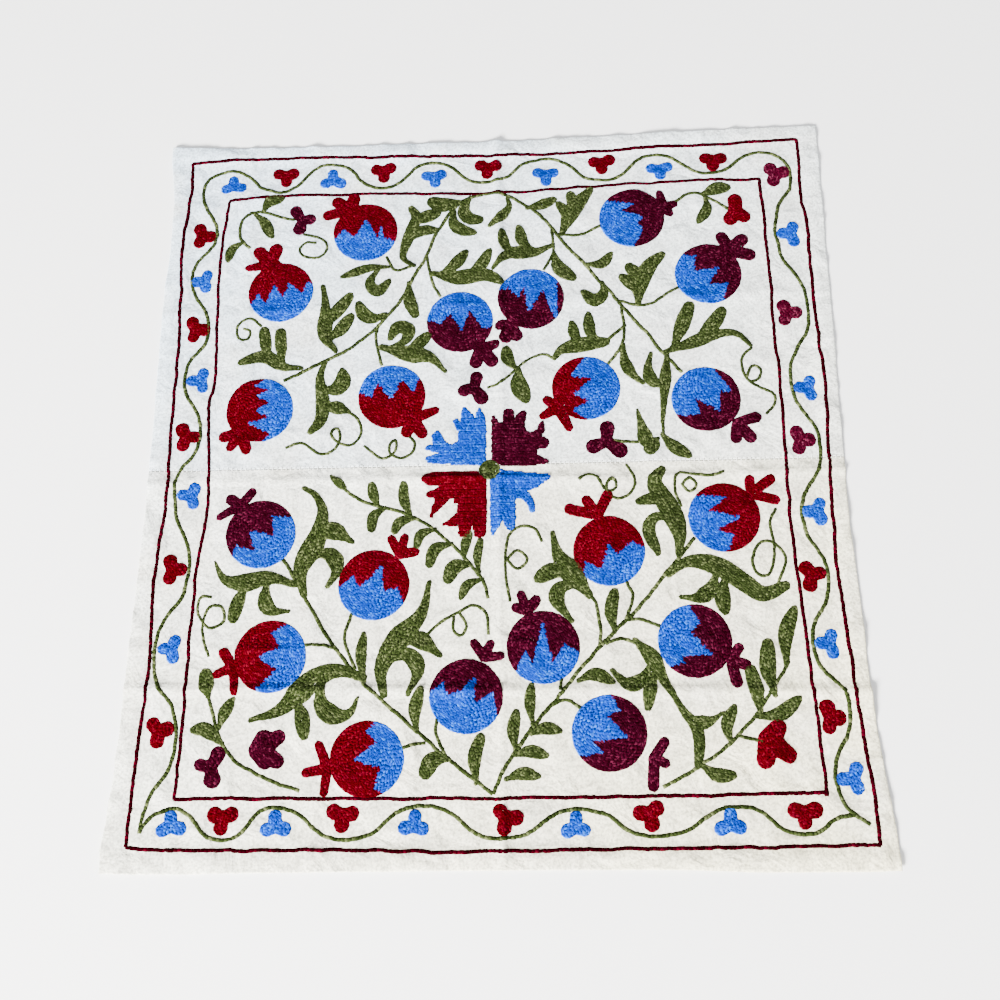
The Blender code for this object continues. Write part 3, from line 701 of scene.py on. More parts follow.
class ClothShape:
    """The edges and the height of the cloth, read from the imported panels."""

    def __init__(self):
        trees, corners = [], []
        for name in PANELS:
            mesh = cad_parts[name].data
            trees.append(
                BVHTree.FromPolygons(
                    [v.co for v in mesh.vertices], [tuple(p.vertices) for p in mesh.polygons]
                )
            )
            flat = np.empty(len(mesh.vertices) * 3)
            mesh.vertices.foreach_get("co", flat)
            corners.append(flat.reshape(-1, 3))
        self.trees = trees
        corners = np.vstack(corners)
        self.low, self.high = corners.min(0), corners.max(0)
        self.left = self.edge(corners, 1, 0, -1)
        self.right = self.edge(corners, 1, 0, 1)
        self.bottom = self.edge(corners, 0, 1, -1)
        self.top = self.edge(corners, 0, 1, 1)
        self.xs = self.steps(0)
        self.ys = self.steps(1)
        self.heights = self.survey() + self.relief(*np.meshgrid(self.xs, self.ys))

    def edge(self, corners, along, across, side):
        """One edge of the outline, as the furthest points along it."""
        cell = 0.03
        slots = np.round(corners[:, along] / cell).astype(int)
        rows = []
        for slot in np.unique(slots):
            here = corners[slots == slot]
            rows.append(here[np.argmax(side * here[:, across])][[along, across]])
        rows = np.array(sorted(map(tuple, rows)))
        return field(rows[:, 0], rows[:, 1])

    def steps(self, axis):
        low, high = self.low[axis] - TABLE_MARGIN, self.high[axis] + TABLE_MARGIN
        return np.linspace(low, high, round((high - low) / TABLE_STEP) + 1)

    def survey(self):
        """The panels' top, felt from above, softened where their flat faces meet."""
        above, down = 0.05, Vector((0.0, 0.0, -1.0))
        box_inset, edge_inset = 0.001, 0.0005
        outward_steps, soft_passes = 12, 3
        x_in = np.clip(self.xs, self.low[0] + box_inset, self.high[0] - box_inset)
        table = np.full((len(self.ys), len(self.xs)), np.nan)
        for row, y in enumerate(self.ys):
            inside = (x_in > self.left(y) + edge_inset) & (x_in < self.right(y) - edge_inset)
            for column in np.flatnonzero(inside):
                for tree in self.trees:
                    hit = tree.ray_cast(Vector((x_in[column], y, above)), down)[0]
                    if hit is not None:
                        table[row, column] = hit.z
                        break
        for _ in range(outward_steps):
            table = self.spread_edges(table)
        table[np.isnan(table)] = np.nanmean(table)
        for _ in range(soft_passes):
            table = self.softened(table)
        return table

    @staticmethod
    def spread_edges(table):
        """Carries the height at the edge a step outwards."""
        for axis in (0, 1):
            for shift in (-1, 1):
                moved = np.roll(table, shift, axis)
                table = np.where(np.isnan(table), moved, table)
        return table

    @staticmethod
    def softened(table):
        padded = np.pad(table, 1, mode="edge")
        across = (padded[:, :-2] + 2 * padded[:, 1:-1] + padded[:, 2:]) / 4
        return (across[:-2] + 2 * across[1:-1] + across[2:]) / 4

    def relief(self, x, y):
        """What the panels leave out: swells, sharp folds, the seam, crinkles and puckers."""
        height = np.zeros_like(x)
        rng = np.random.default_rng(7)
        crowding = 1.4
        for wavelength, strength in SWELLS:
            for _ in range(WAVES_A_SWELL):
                turn, phase = rng.uniform(0, 2 * math.pi, 2)
                run = (x * math.cos(turn) + y * math.sin(turn)) * 2 * math.pi / wavelength
                height += 0.001 * strength * np.sin(run + phase) / crowding
        # The fold just below the seam, which bows down to the right of the centre, and its trough
        bow = 0.005 * np.exp(-(((x - 0.15) / 0.10) ** 2))
        height += crease(y, -0.0150 - bow, 0.0035, 0.0016)
        height -= crease(y, -0.0105 - bow, 0.0045, 0.0013)
        # The fold across the lower panel, and the upright one
        height += crease(y, -0.281 - 0.014 * x, 0.0045, 0.0022)
        height += crease(x, 0.0105 + 0.002 * np.sin(9 * y), 0.0045, 0.0021)
        # Two fainter ones: across the left of the lower panel, and across the upper
        height += crease(y, -0.226 + 0.004 * np.sin(6 * x), 0.0042, 0.0017) * (x < 0.05)
        height += crease(y, 0.226 + 0.003 * np.sin(5 * x), 0.0050, 0.0012)
        # The ditch along the seam
        height -= crease(y, SEAM_Y, 0.0022, 0.0006)
        height += self.crinkles(x, y)
        for along, inwards, seed in (
            (y, x - self.left(y), 1),
            (y, self.right(y) - x, 2),
            (x, self.top(x) - y, 3),
            (x, y - self.bottom(x), 4),
        ):
            height += self.puckers(along, inwards, seed)
        return np.maximum(height, DEEPEST_TROUGH)

    @staticmethod
    def crinkles(x, y):
        """Short soft crests all over, such as folding and handling leave."""
        rng = np.random.default_rng(11)
        total = np.zeros_like(x)
        count, reach, bend = 60, 0.46, 2.0
        for _ in range(count):
            middle_x, middle_y = rng.uniform(-reach, reach, 2)
            turn = rng.choice((0.0, 0.5 * math.pi)) + rng.normal(0, 0.45)
            length = rng.uniform(0.020, 0.075)
            width = rng.uniform(0.0035, 0.0080)
            height = rng.uniform(0.0003, 0.0013)
            run = (x - middle_x) * math.cos(turn) + (y - middle_y) * math.sin(turn)
            side = (y - middle_y) * math.cos(turn) - (x - middle_x) * math.sin(turn)
            side += bend * run**2
            total += height * np.exp(-((run / length) ** 2) - (side / width) ** 2)
        return total

    @staticmethod
    def puckers(along, inwards, seed):
        """Short crests square to an edge, uneven in place and size."""
        rng = np.random.default_rng(seed)
        total = np.zeros_like(along)
        reach = 0.48
        place = -reach
        while place < reach:
            place += rng.uniform(0.012, 0.034)
            width = rng.uniform(0.0035, 0.0075)
            length = rng.uniform(0.018, 0.050)
            height = rng.uniform(-0.0014, 0.0022)
            slant = rng.uniform(-0.25, 0.25)
            fade = np.clip(1 - np.clip(inwards, 0, None) / length, 0, 1) ** 2
            line = along - place - slant * inwards
            total += height * np.exp(-((line / width) ** 2)) * fade
        return total

    def height(self, x, y):
        """The top of the cloth at any places."""
        column = np.clip((x - self.xs[0]) / (self.xs[1] - self.xs[0]), 0, len(self.xs) - 1.001)
        row = np.clip((y - self.ys[0]) / (self.ys[1] - self.ys[0]), 0, len(self.ys) - 1.001)
        i, j = column.astype(int), row.astype(int)
        u, v = column - i, row - j
        table = self.heights
        return (
            table[j, i] * (1 - u) * (1 - v)
            + table[j, i + 1] * u * (1 - v)
            + table[j + 1, i] * (1 - u) * v
            + table[j + 1, i + 1] * u * v
        )


def crease(distance_from, place, spread, height):
    """A soft crest of a given height, or a trough where it is taken away."""
    return height * np.exp(-(((distance_from - place) / spread) ** 2))


# Rows of stitches


def smooth_line(points, spacing):
    """A smooth curve through points, as points at equal distances."""
    points = np.array(points, float)
    steps = 16
    if len(points) == 2:
        dense = points
    else:
        before, after = 2 * points[0] - points[1], 2 * points[-1] - points[-2]
        guides = np.vstack([before, points, after])
        t = np.linspace(0, 1, steps, endpoint=False)[:, None]
        pieces = []
        for a, b, c, d in zip(guides, guides[1:], guides[2:], guides[3:]):
            pieces.append(
                0.5 * (2 * b + (c - a) * t + (2 * a - 5 * b + 4 * c - d) * t**2
                       + (3 * b - a - 3 * c + d) * t**3)
            )
        dense = np.vstack([*pieces, points[-1]])
    run = np.concatenate([[0], np.cumsum(np.linalg.norm(np.diff(dense, axis=0), axis=1))])
    count = max(round(run[-1] / spacing), 1) + 1
    at = np.linspace(0, run[-1], count)
    return np.stack([np.interp(at, run, dense[:, axis]) for axis in (0, 1)], axis=1)


def wave_line(turns):
    """A vine through its turning places, level at each of them."""
    steps, fullness = 12, 0.05
    t = np.linspace(0, 1, steps, endpoint=False)
    ease = (1 - np.cos(math.pi * t)) / 2
    soft = t + fullness * np.sin(2 * math.pi * t)
    line = []
    for (x0, y0), (x1, y1) in zip(turns, turns[1:]):
        if abs(x1 - x0) >= abs(y1 - y0):
            line += list(zip(x0 + (x1 - x0) * soft, y0 + (y1 - y0) * ease))
        else:
            line += list(zip(x0 + (x1 - x0) * ease, y0 + (y1 - y0) * soft))
    return line + [turns[-1]]


class Stitches:
    """The stitches of a kind of piece, gathered by thread before each is made one mesh."""

    def __init__(self, seed):
        self.rng = np.random.default_rng(seed)
        self.rows = {}

    def add(self, thread, middles, ahead, length, width):
        """A run of links at their middles, each lying along its own direction."""
        count = len(middles)
        if not count:
            return
        rng = self.rng
        turn = np.arctan2(ahead[:, 1], ahead[:, 0]) + rng.normal(0, LINK_TURN, count)
        self.rows.setdefault(thread, []).append(
            np.column_stack(
                [
                    middles + rng.normal(0, LINK_SHIFT, (count, 2)),
                    turn,
                    length * rng.uniform(*LINK_LENGTHS, count),
                    width * rng.uniform(*LINK_WIDTHS, count),
                    rng.uniform(*LINK_HEIGHTS, count),
                    np.clip(rng.normal(*LINK_TONES, count), 0, 1),
                ]
            )
        )

    def line(self, thread, points, length, width):
        """A line of chain stitch along points given in metres."""
        points = np.array(points)
        self.add(thread, (points[1:] + points[:-1]) / 2, np.diff(points, axis=0), length, width)


def stroke_distance(x, y, points, radii):
    """How far places lie outside a stroke whose radius changes along it."""
    best = np.full(x.shape, np.inf)
    for (ax, ay), (bx, by), ra, rb in zip(points, points[1:], radii, radii[1:]):
        dx, dy = bx - ax, by - ay
        t = np.clip(((x - ax) * dx + (y - ay) * dy) / max(dx * dx + dy * dy, 1e-12), 0, 1)
        far = np.hypot(x - ax - t * dx, y - ay - t * dy) - (ra + t * (rb - ra))
        best = np.minimum(best, far)
    return best


def leaf_distance(leaf):
    """A leaf's shape: narrow at its foot, fullest past the middle, then its tip."""
    points = smooth_line(leaf.points, LEAF_STEP)
    t = np.linspace(0, 1, len(points))
    rise = np.clip(t / leaf.fullest, 0, 1)
    fall = np.clip((t - leaf.fullest) / (1 - leaf.fullest), 0, 1)
    rise = rise * rise * (3 - 2 * rise)
    fall = 1 - (1 - fall) ** 1.5 if leaf.tip < POINTED_TIP else fall * fall
    share = (LEAF_FOOT + (1 - LEAF_FOOT) * rise) * (1 - (1 - leaf.tip) * fall)
    radii = leaf.width / 2 * LEAF_FULLNESS * share
    return lambda x, y: stroke_distance(x, y, points, radii)


def disc_distance(middle_x, middle_y, radius):
    return lambda x, y: np.hypot(x - middle_x, y - middle_y) - radius


def any_of(shapes):
    return lambda x, y: np.minimum.reduce([shape(x, y) for shape in shapes])


def contour_lines(table, level):
    """Closed lines at a level of a table, in cells, by walking its triangles' edges."""
    rows, columns = table.shape
    flat = table.ravel()
    index = np.arange(rows * columns).reshape(rows, columns)
    a, b = index[:-1, :-1].ravel(), index[:-1, 1:].ravel()
    c, d = index[1:, 1:].ravel(), index[1:, :-1].ravel()
    triangles = np.concatenate([np.column_stack([a, b, c]), np.column_stack([a, c, d])])
    above = flat[triangles] > level
    triangles = triangles[(above.any(1)) & (~above.all(1))]
    links = {}
    for corners in triangles.tolist():
        crossed = []
        for p, q in ((0, 1), (1, 2), (2, 0)):
            p, q = corners[p], corners[q]
            if (flat[p] > level) != (flat[q] > level):
                crossed.append((min(p, q), max(p, q)))
        first, second = crossed
        links.setdefault(first, []).append(second)
        links.setdefault(second, []).append(first)
    lines = []
    while links:
        start = min(links)
        chain = [start]
        here = start
        while True:
            neighbours = links.pop(here)
            onward = [edge for edge in neighbours if edge in links]
            if not onward:
                break
            here = onward[0]
            chain.append(here)
        if len(chain) > 2:
            ends = np.array(chain)
            share = (level - flat[ends[:, 0]]) / (flat[ends[:, 1]] - flat[ends[:, 0]])
            low = np.column_stack([ends[:, 0] % columns, ends[:, 0] // columns])
            high = np.column_stack([ends[:, 1] % columns, ends[:, 1] // columns])
            lines.append(low + (high - low) * share[:, None])
    return lines


def shape_table(shape, box, step):
    xs = np.arange(box[0], box[2] + step, step)
    ys = np.arange(box[1], box[3] + step, step)
    return xs, ys, shape(*np.meshgrid(xs, ys))


class Cover:
    """Which places of a shape lie under thread already."""

    def __init__(self, xs, ys, table, row):
        self.xs, self.ys, self.table, self.row = xs, ys, table, row
        half_width = 0.50
        self.bare = table < -BARE_RIM * row
        self.slope_y, self.slope_x = np.gradient(table)
        reach = half_width * row / FILL_STEP
        span = np.arange(-math.ceil(reach), math.ceil(reach) + 1)
        dx, dy = np.meshgrid(span, span)
        near = np.hypot(dx, dy) <= reach
        self.dx, self.dy = dx[near], dy[near]

    def mark(self, middles, ahead, length):
        """Notes the ground under a run of stitches."""
        way = ahead / np.maximum(np.linalg.norm(ahead, axis=1), 1e-9)[:, None]
        for part_way in (-0.45, -0.22, 0.0, 0.22, 0.45):
            at = middles + way * (part_way * length)
            i = np.round((at[:, 0] - self.xs[0]) / FILL_STEP).astype(int)[:, None] + self.dx
            j = np.round((at[:, 1] - self.ys[0]) / FILL_STEP).astype(int)[:, None] + self.dy
            i, j = np.clip(i, 0, len(self.xs) - 1), np.clip(j, 0, len(self.ys) - 1)
            self.bare[j, i] = False

    def plug(self, stitches, length, thread_at):
        """Lays short stitches along the outline's direction wherever the rows left a gap."""
        short, flat_slope = 0.75 * length, 0.2 * FILL_STEP
        middles, ahead = [], []
        while self.bare.any():
            places = np.argwhere(self.bare)
            j, i = places[np.argmin(self.table[self.bare])]
            way = np.array([-self.slope_y[j, i], self.slope_x[j, i]])
            if np.linalg.norm(way) < flat_slope:
                way = np.array([1.0, 0.0])
            middle = np.array([self.xs[i], self.ys[j]])
            self.mark(middle[None], way[None], short)
            self.bare[j, i] = False
            middles.append(middle)
            ahead.append(way)
        if middles:
            lay(stitches, np.array(middles), np.array(ahead), short, self.row, thread_at)


def fill_round(stitches, shape, box, thread_at):
    """Fills a shape with rows of chain stitch that follow its outline, from the rim inwards.

    The shape and its box are in centimetres. thread_at names the thread of each stitch.
    """
    sizes = settings()
    row, length = sizes.row_width / CM, sizes.link_length / CM
    xs, ys, table = shape_table(shape, box, FILL_STEP)
    cover = Cover(xs, ys, table, row)
    deepest, shortest = -table.min(), 0.5 * length
    depth = row * FIRST_ROW_IN
    while depth < deepest:
        for line in contour_lines(table, -depth):
            points = (xs[0], ys[0]) + line * FILL_STEP
            points = np.vstack([points, points[:1]])
            steps = np.linalg.norm(np.diff(points, axis=0), axis=1)
            around = steps.sum()
            if around < shortest:
                continue
            run = np.concatenate([[0], np.cumsum(steps)])
            count = max(round(around / length), 2)
            shift = stitches.rng.uniform(0, 1)
            ends = (np.arange(count + 1) + shift) / count * around
            ends = np.column_stack(
                [np.interp(ends % around, run, points[:, axis]) for axis in (0, 1)]
            )
            middles, ahead = (ends[1:] + ends[:-1]) / 2, np.diff(ends, axis=0)
            lay(stitches, middles, ahead, around / count, row, thread_at)
            cover.mark(middles, ahead, around / count)
        depth += row
    cover.plug(stitches, length, thread_at)


def fill_across(stitches, shape, box, thread_at):
    """Fills a shape with level rows of chain stitch."""
    sizes = settings()
    row, length = sizes.row_width / CM, sizes.link_length / CM
    inset, fine_step, shortest = LEVEL_ROW_IN * row, 0.03, 0.02
    cover = Cover(*shape_table(shape, box, FILL_STEP), row)
    for count, y in enumerate(np.arange(box[1], box[3], row)):
        xs = np.arange(box[0], box[2], fine_step)
        inside = shape(xs, np.full_like(xs, y)) < -inset
        turns = np.flatnonzero(np.diff(np.concatenate([[0], inside.astype(int), [0]])))
        for start, stop in zip(turns[::2], turns[1::2]):
            x0, x1 = xs[start], xs[stop - 1]
            links = max(round((x1 - x0) / length), 1)
            out_of_step = stitches.rng.uniform(-0.5, 0.5)
            ends = np.clip(x0 + (np.arange(links + 2) + out_of_step) / links * (x1 - x0), x0, x1)
            ends = ends[np.concatenate([[True], np.diff(ends) > shortest])]
            links = len(ends) - 1
            if links < 1:
                continue
            if count % 2:
                ends = ends[::-1]
            middles = np.column_stack([(ends[1:] + ends[:-1]) / 2, np.full(links, y)])
            ahead = np.column_stack([np.diff(ends), np.zeros(links)])
            pitch = max((x1 - x0) / links, 0.6 * length)
            lay(stitches, middles, ahead, pitch, row, thread_at)
            cover.mark(middles, ahead, pitch)
    cover.plug(stitches, length, thread_at)


def lay(stitches, middles, ahead, length, width, thread_at):
    """Hands a run of stitches to the threads that they are worked in."""
    threads = np.array([thread_at(x, y) for x, y in middles])
    for thread in sorted(set(threads)):
        picked = threads == thread
        stitches.add(thread, middles[picked] * CM, ahead[picked] * CM, length * CM, width * CM)


def always(thread):
    return lambda x, y: thread


# Links of thread, modelled once


def select_none():
    bpy.ops.object.select_all(action="DESELECT")


def select_verts(mesh_object, picks):
    """Picks points in edit mode by their place."""
    bpy.ops.object.mode_set(mode="OBJECT")
    mesh = mesh_object.data
    for item in (*mesh.polygons, *mesh.edges):
        item.select = False
    for vert in mesh.vertices:
        vert.select = picks(vert.co)
    bpy.ops.object.mode_set(mode="EDIT")
    bpy.ops.mesh.select_mode(type="VERT")


def chain_link():
    """One chain stitch: a ridge of two lengths with a broad foot, lower and narrower at its ends."""
    radius, part = 0.5, 0.5
    foot = -radius / 2
    select_none()
    bpy.ops.mesh.primitive_cylinder_add(
        vertices=3, radius=radius, depth=part, end_fill_type="NGON", rotation=(0, math.pi / 2, 0)
    )
    link = bpy.context.object
    bpy.ops.object.transform_apply(location=False, rotation=True, scale=False)
    bpy.ops.object.mode_set(mode="EDIT")
    bpy.ops.mesh.select_all(action="SELECT")
    bpy.ops.transform.rotate(
        value=-math.pi / 2, orient_axis="X", orient_type="GLOBAL", center_override=(0, 0, 0)
    )
    select_verts(link, lambda co: co.x > 0)
    bpy.ops.mesh.select_mode(type="FACE")
    bpy.ops.mesh.extrude_region_move(TRANSFORM_OT_translate={"value": (part, 0, 0)})
    for end in (1.5 * part, -0.5 * part):
        select_verts(link, lambda co, end=end: abs(co.x - end) < 0.01)
        bpy.ops.transform.resize(value=(1, 0.92, 0.60), center_override=(end, 0, foot))
    bpy.ops.mesh.select_all(action="SELECT")
    bpy.ops.transform.translate(value=(-part / 2, 0, 0))
    bpy.ops.object.mode_set(mode="OBJECT")
    return link


def take_template(link):
    """A link's points and faces, after which the object goes."""
    mesh = link.data
    points = np.empty(len(mesh.vertices) * 3)
    mesh.vertices.foreach_get("co", points)
    faces = [tuple(face.vertices) for face in mesh.polygons]
    bpy.data.objects.remove(link)
    bpy.data.meshes.remove(mesh)
    points = points.reshape(-1, 3)
    points[:, 2] -= points[:, 2].min()
    points[:, 2] /= points[:, 2].max()
    points[:, 1] /= np.abs(points[:, 1]).max() * 2
    points[:, 0] /= np.abs(points[:, 0]).max() * 2
    return points, faces


def joined_links(name, rows, height):
    """All the stitches of a piece as one mesh, each point set on the cloth beneath it."""
    points, faces = link_template()
    rows = np.vstack(rows)
    x, y, turn, length, width, tall, tone = rows.T
    along = points[None, :, 0] * length[:, None]
    across = points[None, :, 1] * width[:, None]
    px = x[:, None] + along * np.cos(turn)[:, None] - across * np.sin(turn)[:, None]
    py = y[:, None] + along * np.sin(turn)[:, None] + across * np.cos(turn)[:, None]
    pz = cloth().height(px, py) + (points[None, :, 2] - LINK_SUNK) * height * tall[:, None]
    places = np.stack([px, py, pz], axis=2).reshape(-1, 3)

    sizes = np.array([len(face) for face in faces])
    corners = np.concatenate([np.array(face) for face in faces])
    each = len(points)
    loops = (corners[None] + each * np.arange(len(rows))[:, None]).ravel()
    starts = np.concatenate([[0], np.cumsum(np.tile(sizes, len(rows)))[:-1]])
    mesh = bpy.data.meshes.new(name)
    mesh.vertices.add(len(places))
    mesh.vertices.foreach_set("co", places.ravel())
    mesh.loops.add(len(loops))
    mesh.loops.foreach_set("vertex_index", loops.astype(np.int32))
    mesh.polygons.add(len(starts))
    mesh.polygons.foreach_set("loop_start", starts.astype(np.int32))
    mesh.update(calc_edges=True)
    mesh.validate()
    mesh.shade_smooth()
    add_values(mesh, "tone", np.repeat(tone, each))
    # Each stitch starts its twist at another place
    add_values(mesh, "along", (along + tone[:, None] * 0.01).ravel())
    add_values(mesh, "across", across.ravel())
    piece = bpy.data.objects.new(name, mesh)
    bpy.context.scene.collection.objects.link(piece)
    return piece


def add_values(mesh, name, values):
    layer = mesh.attributes.new(name, "FLOAT", "POINT")
    layer.data.foreach_set("value", values.astype(np.float32))


def finish_stitches(stitches, kind, share=1.0):
    """Makes one piece for each thread, at a share of the usual height, on the body."""
    height = settings().link_height * share
    for thread, rows in sorted(stitches.rows.items()):
        piece = joined_links(f"{kind}_{thread}", rows, height)
        piece.data.materials.append(thread_material(thread))
        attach(piece, "root")


CACHE = {}


def cached(key, make):
    if key not in CACHE:
        CACHE[key] = make()
    return CACHE[key]


def cloth():
    return cached("cloth", ClothShape)


def link_template():
    return cached("link", lambda: take_template(chain_link()))


# Materials


def group_socket(group, name, way, kind, value=None):
    socket = group.interface.new_socket(name=name, in_out=way, socket_type=kind)
    if value is not None:
        socket.default_value = value
    return socket


def add_node(tree, kind, place, **values):
    node = tree.nodes.new(kind)
    node.location = place
    for key, value in values.items():
        setattr(node, key, value)
    return node


def fibre_group():
    """Two strands of twisted fibre lying side by side along each stitch, with loose hairs."""
    group = bpy.data.node_groups.new("twisted_fibre", "ShaderNodeTree")
    group_socket(group, "Strand width", "INPUT", "NodeSocketFloat", 0.00013)
    group_socket(group, "Strength", "INPUT", "NodeSocketFloat", 0.7)
    group_socket(group, "Normal", "OUTPUT", "NodeSocketVector")
    group_socket(group, "Fuzz", "OUTPUT", "NodeSocketFloat")
    group_socket(group, "Groove", "OUTPUT", "NodeSocketFloat")
    inside = add_node(group, "NodeGroupInput", (-1100, 0))
    outside = add_node(group, "NodeGroupOutput", (500, 0))
    along = add_node(group, "ShaderNodeAttribute", (-1100, -150), attribute_name="along")
    across = add_node(group, "ShaderNodeAttribute", (-1100, -350), attribute_name="across")
    side = add_node(group, "ShaderNodeMath", (-900, -350), operation="ABSOLUTE")
    lean = add_node(group, "ShaderNodeMath", (-700, -200), operation="MULTIPLY_ADD")
    lean.inputs[1].default_value = 1.3
    share = add_node(group, "ShaderNodeMath", (-500, -100), operation="DIVIDE")
    wave = add_node(group, "ShaderNodeMath", (-350, -100), operation="SINE")
    groove = add_node(group, "ShaderNodeMapRange", (-700, -450), interpolation_type="SMOOTHSTEP")
    groove.inputs["From Max"].default_value = 0.00042
    place = add_node(group, "ShaderNodeTexCoord", (-900, -650))
    noise = add_node(group, "ShaderNodeTexNoise", (-500, -600))
    noise.inputs["Scale"].default_value = 1400
    noise.inputs["Detail"].default_value = 3
    mix = add_node(group, "ShaderNodeMath", (-200, -250), operation="MULTIPLY_ADD")
    mix.inputs[1].default_value = 0.25
    deep = add_node(group, "ShaderNodeMath", (-50, -350), operation="MULTIPLY_ADD")
    deep.inputs[1].default_value = 1.3
    bump = add_node(group, "ShaderNodeBump", (200, -100))
    bump.inputs["Distance"].default_value = 0.00035
    join = group.links.new
    join(across.outputs["Fac"], side.inputs[0])
    join(side.outputs[0], lean.inputs[0])
    join(along.outputs["Fac"], lean.inputs[2])
    join(lean.outputs[0], share.inputs[0])
    join(inside.outputs["Strand width"], share.inputs[1])
    join(share.outputs[0], wave.inputs[0])
    join(side.outputs[0], groove.inputs["Value"])
    join(place.outputs["Object"], noise.inputs["Vector"])
    join(wave.outputs[0], mix.inputs[0])
    join(noise.outputs["Fac"], mix.inputs[2])
    join(groove.outputs["Result"], deep.inputs[0])
    join(mix.outputs[0], deep.inputs[2])
    join(deep.outputs[0], bump.inputs["Height"])
    join(inside.outputs["Strength"], bump.inputs["Strength"])
    join(bump.outputs["Normal"], outside.inputs["Normal"])
    join(noise.outputs["Fac"], outside.inputs["Fuzz"])
    join(groove.outputs["Result"], outside.inputs["Groove"])
    return group


def drift_group():
    """A slow change of shade over the cloth, as from uneven dye, light and wear."""
    group = bpy.data.node_groups.new("slow_drift", "ShaderNodeTree")
    group_socket(group, "Patch size", "INPUT", "NodeSocketFloat", 8.0)
    group_socket(group, "Drift", "OUTPUT", "NodeSocketFloat")
    inside = add_node(group, "NodeGroupInput", (-600, 0))
    outside = add_node(group, "NodeGroupOutput", (200, 0))
    place = add_node(group, "ShaderNodeTexCoord", (-600, -200))
    noise = add_node(group, "ShaderNodeTexNoise", (-250, 0))
    noise.inputs["Detail"].default_value = 4
    noise.inputs["Roughness"].default_value = 0.55
    group.links.new(place.outputs["Object"], noise.inputs["Vector"])
    group.links.new(inside.outputs["Patch size"], noise.inputs["Scale"])
    group.links.new(noise.outputs["Fac"], outside.inputs["Drift"])
    return group


def placed_group(tree, key, make, place):
    node = add_node(tree, "ShaderNodeGroup", place)
    node.node_tree = cached(key, make)
    return node


def new_material(name):
    material = bpy.data.materials.new(name)
    material.use_nodes = True
    return material, material.node_tree, material.node_tree.nodes["Principled BSDF"]


def thread_material(thread):
    return cached(f"thread {thread}", lambda: make_thread(thread))


def thread_tones(thread):
    """A thread's four tones, which all move with the colour picked for it."""
    usual = THREADS[thread]
    picked = np.array(getattr(bpy.context.scene.suzani_colours, thread))
    return Thread(*(tuple(picked / usual.middle * tone) for tone in usual))


def make_thread(thread):
    """Twisted thread. Each stitch takes its own shade, and the brightest few take a painted highlight
    of a lighter tone.
    """
    colours = thread_tones(thread)
    material, tree, shader = new_material(f"{thread}_thread")
    tone = add_node(tree, "ShaderNodeAttribute", (-900, 200), attribute_name="tone")
    drift = placed_group(tree, "drift", drift_group, (-900, 0))
    drift.inputs["Patch size"].default_value = 420.0
    fibre = placed_group(tree, "fibre", fibre_group, (-600, -300))
    shade = add_node(tree, "ShaderNodeMath", (-650, 150), operation="MULTIPLY_ADD")
    shade.inputs[1].default_value = 0.60
    ramp = add_node(tree, "ShaderNodeValToRGB", (-400, 200))
    stops = ramp.color_ramp.elements
    stops[0].position, stops[0].color = 0.54, (*colours.dark, 1)
    # The last stop is a painted highlight, a lighter tone for the brightest stitches
    stops[1].position, stops[1].color = 1.0, (*colours.fleck, 1)
    stops.new(0.84).color = (*colours.middle, 1)
    stops.new(0.96).color = (*colours.light, 1)
    rough = add_node(tree, "ShaderNodeMapRange", (-400, -100))
    rough.inputs["To Min"].default_value = 0.55
    rough.inputs["To Max"].default_value = 0.78
    join = tree.links.new
    join(drift.outputs["Drift"], shade.inputs[0])
    join(tone.outputs["Fac"], shade.inputs[2])
    join(shade.outputs[0], ramp.inputs["Fac"])
    shadow = add_node(tree, "ShaderNodeMapRange", (-400, -300))
    shadow.inputs["To Min"].default_value = 0.55
    tinted = add_node(tree, "ShaderNodeMix", (-150, 200), data_type="RGBA", blend_type="MULTIPLY")
    tinted.inputs["Factor"].default_value = 1.0
    join(fibre.outputs["Groove"], shadow.inputs["Value"])
    join(ramp.outputs["Color"], tinted.inputs["A"])
    join(shadow.outputs["Result"], tinted.inputs["B"])
    join(tinted.outputs["Result"], shader.inputs["Base Color"])
    join(fibre.outputs["Fuzz"], rough.inputs["Value"])
    join(rough.outputs["Result"], shader.inputs["Roughness"])
    join(fibre.outputs["Normal"], shader.inputs["Normal"])
    shader.inputs["Specular IOR Level"].default_value = 0.0
    return material


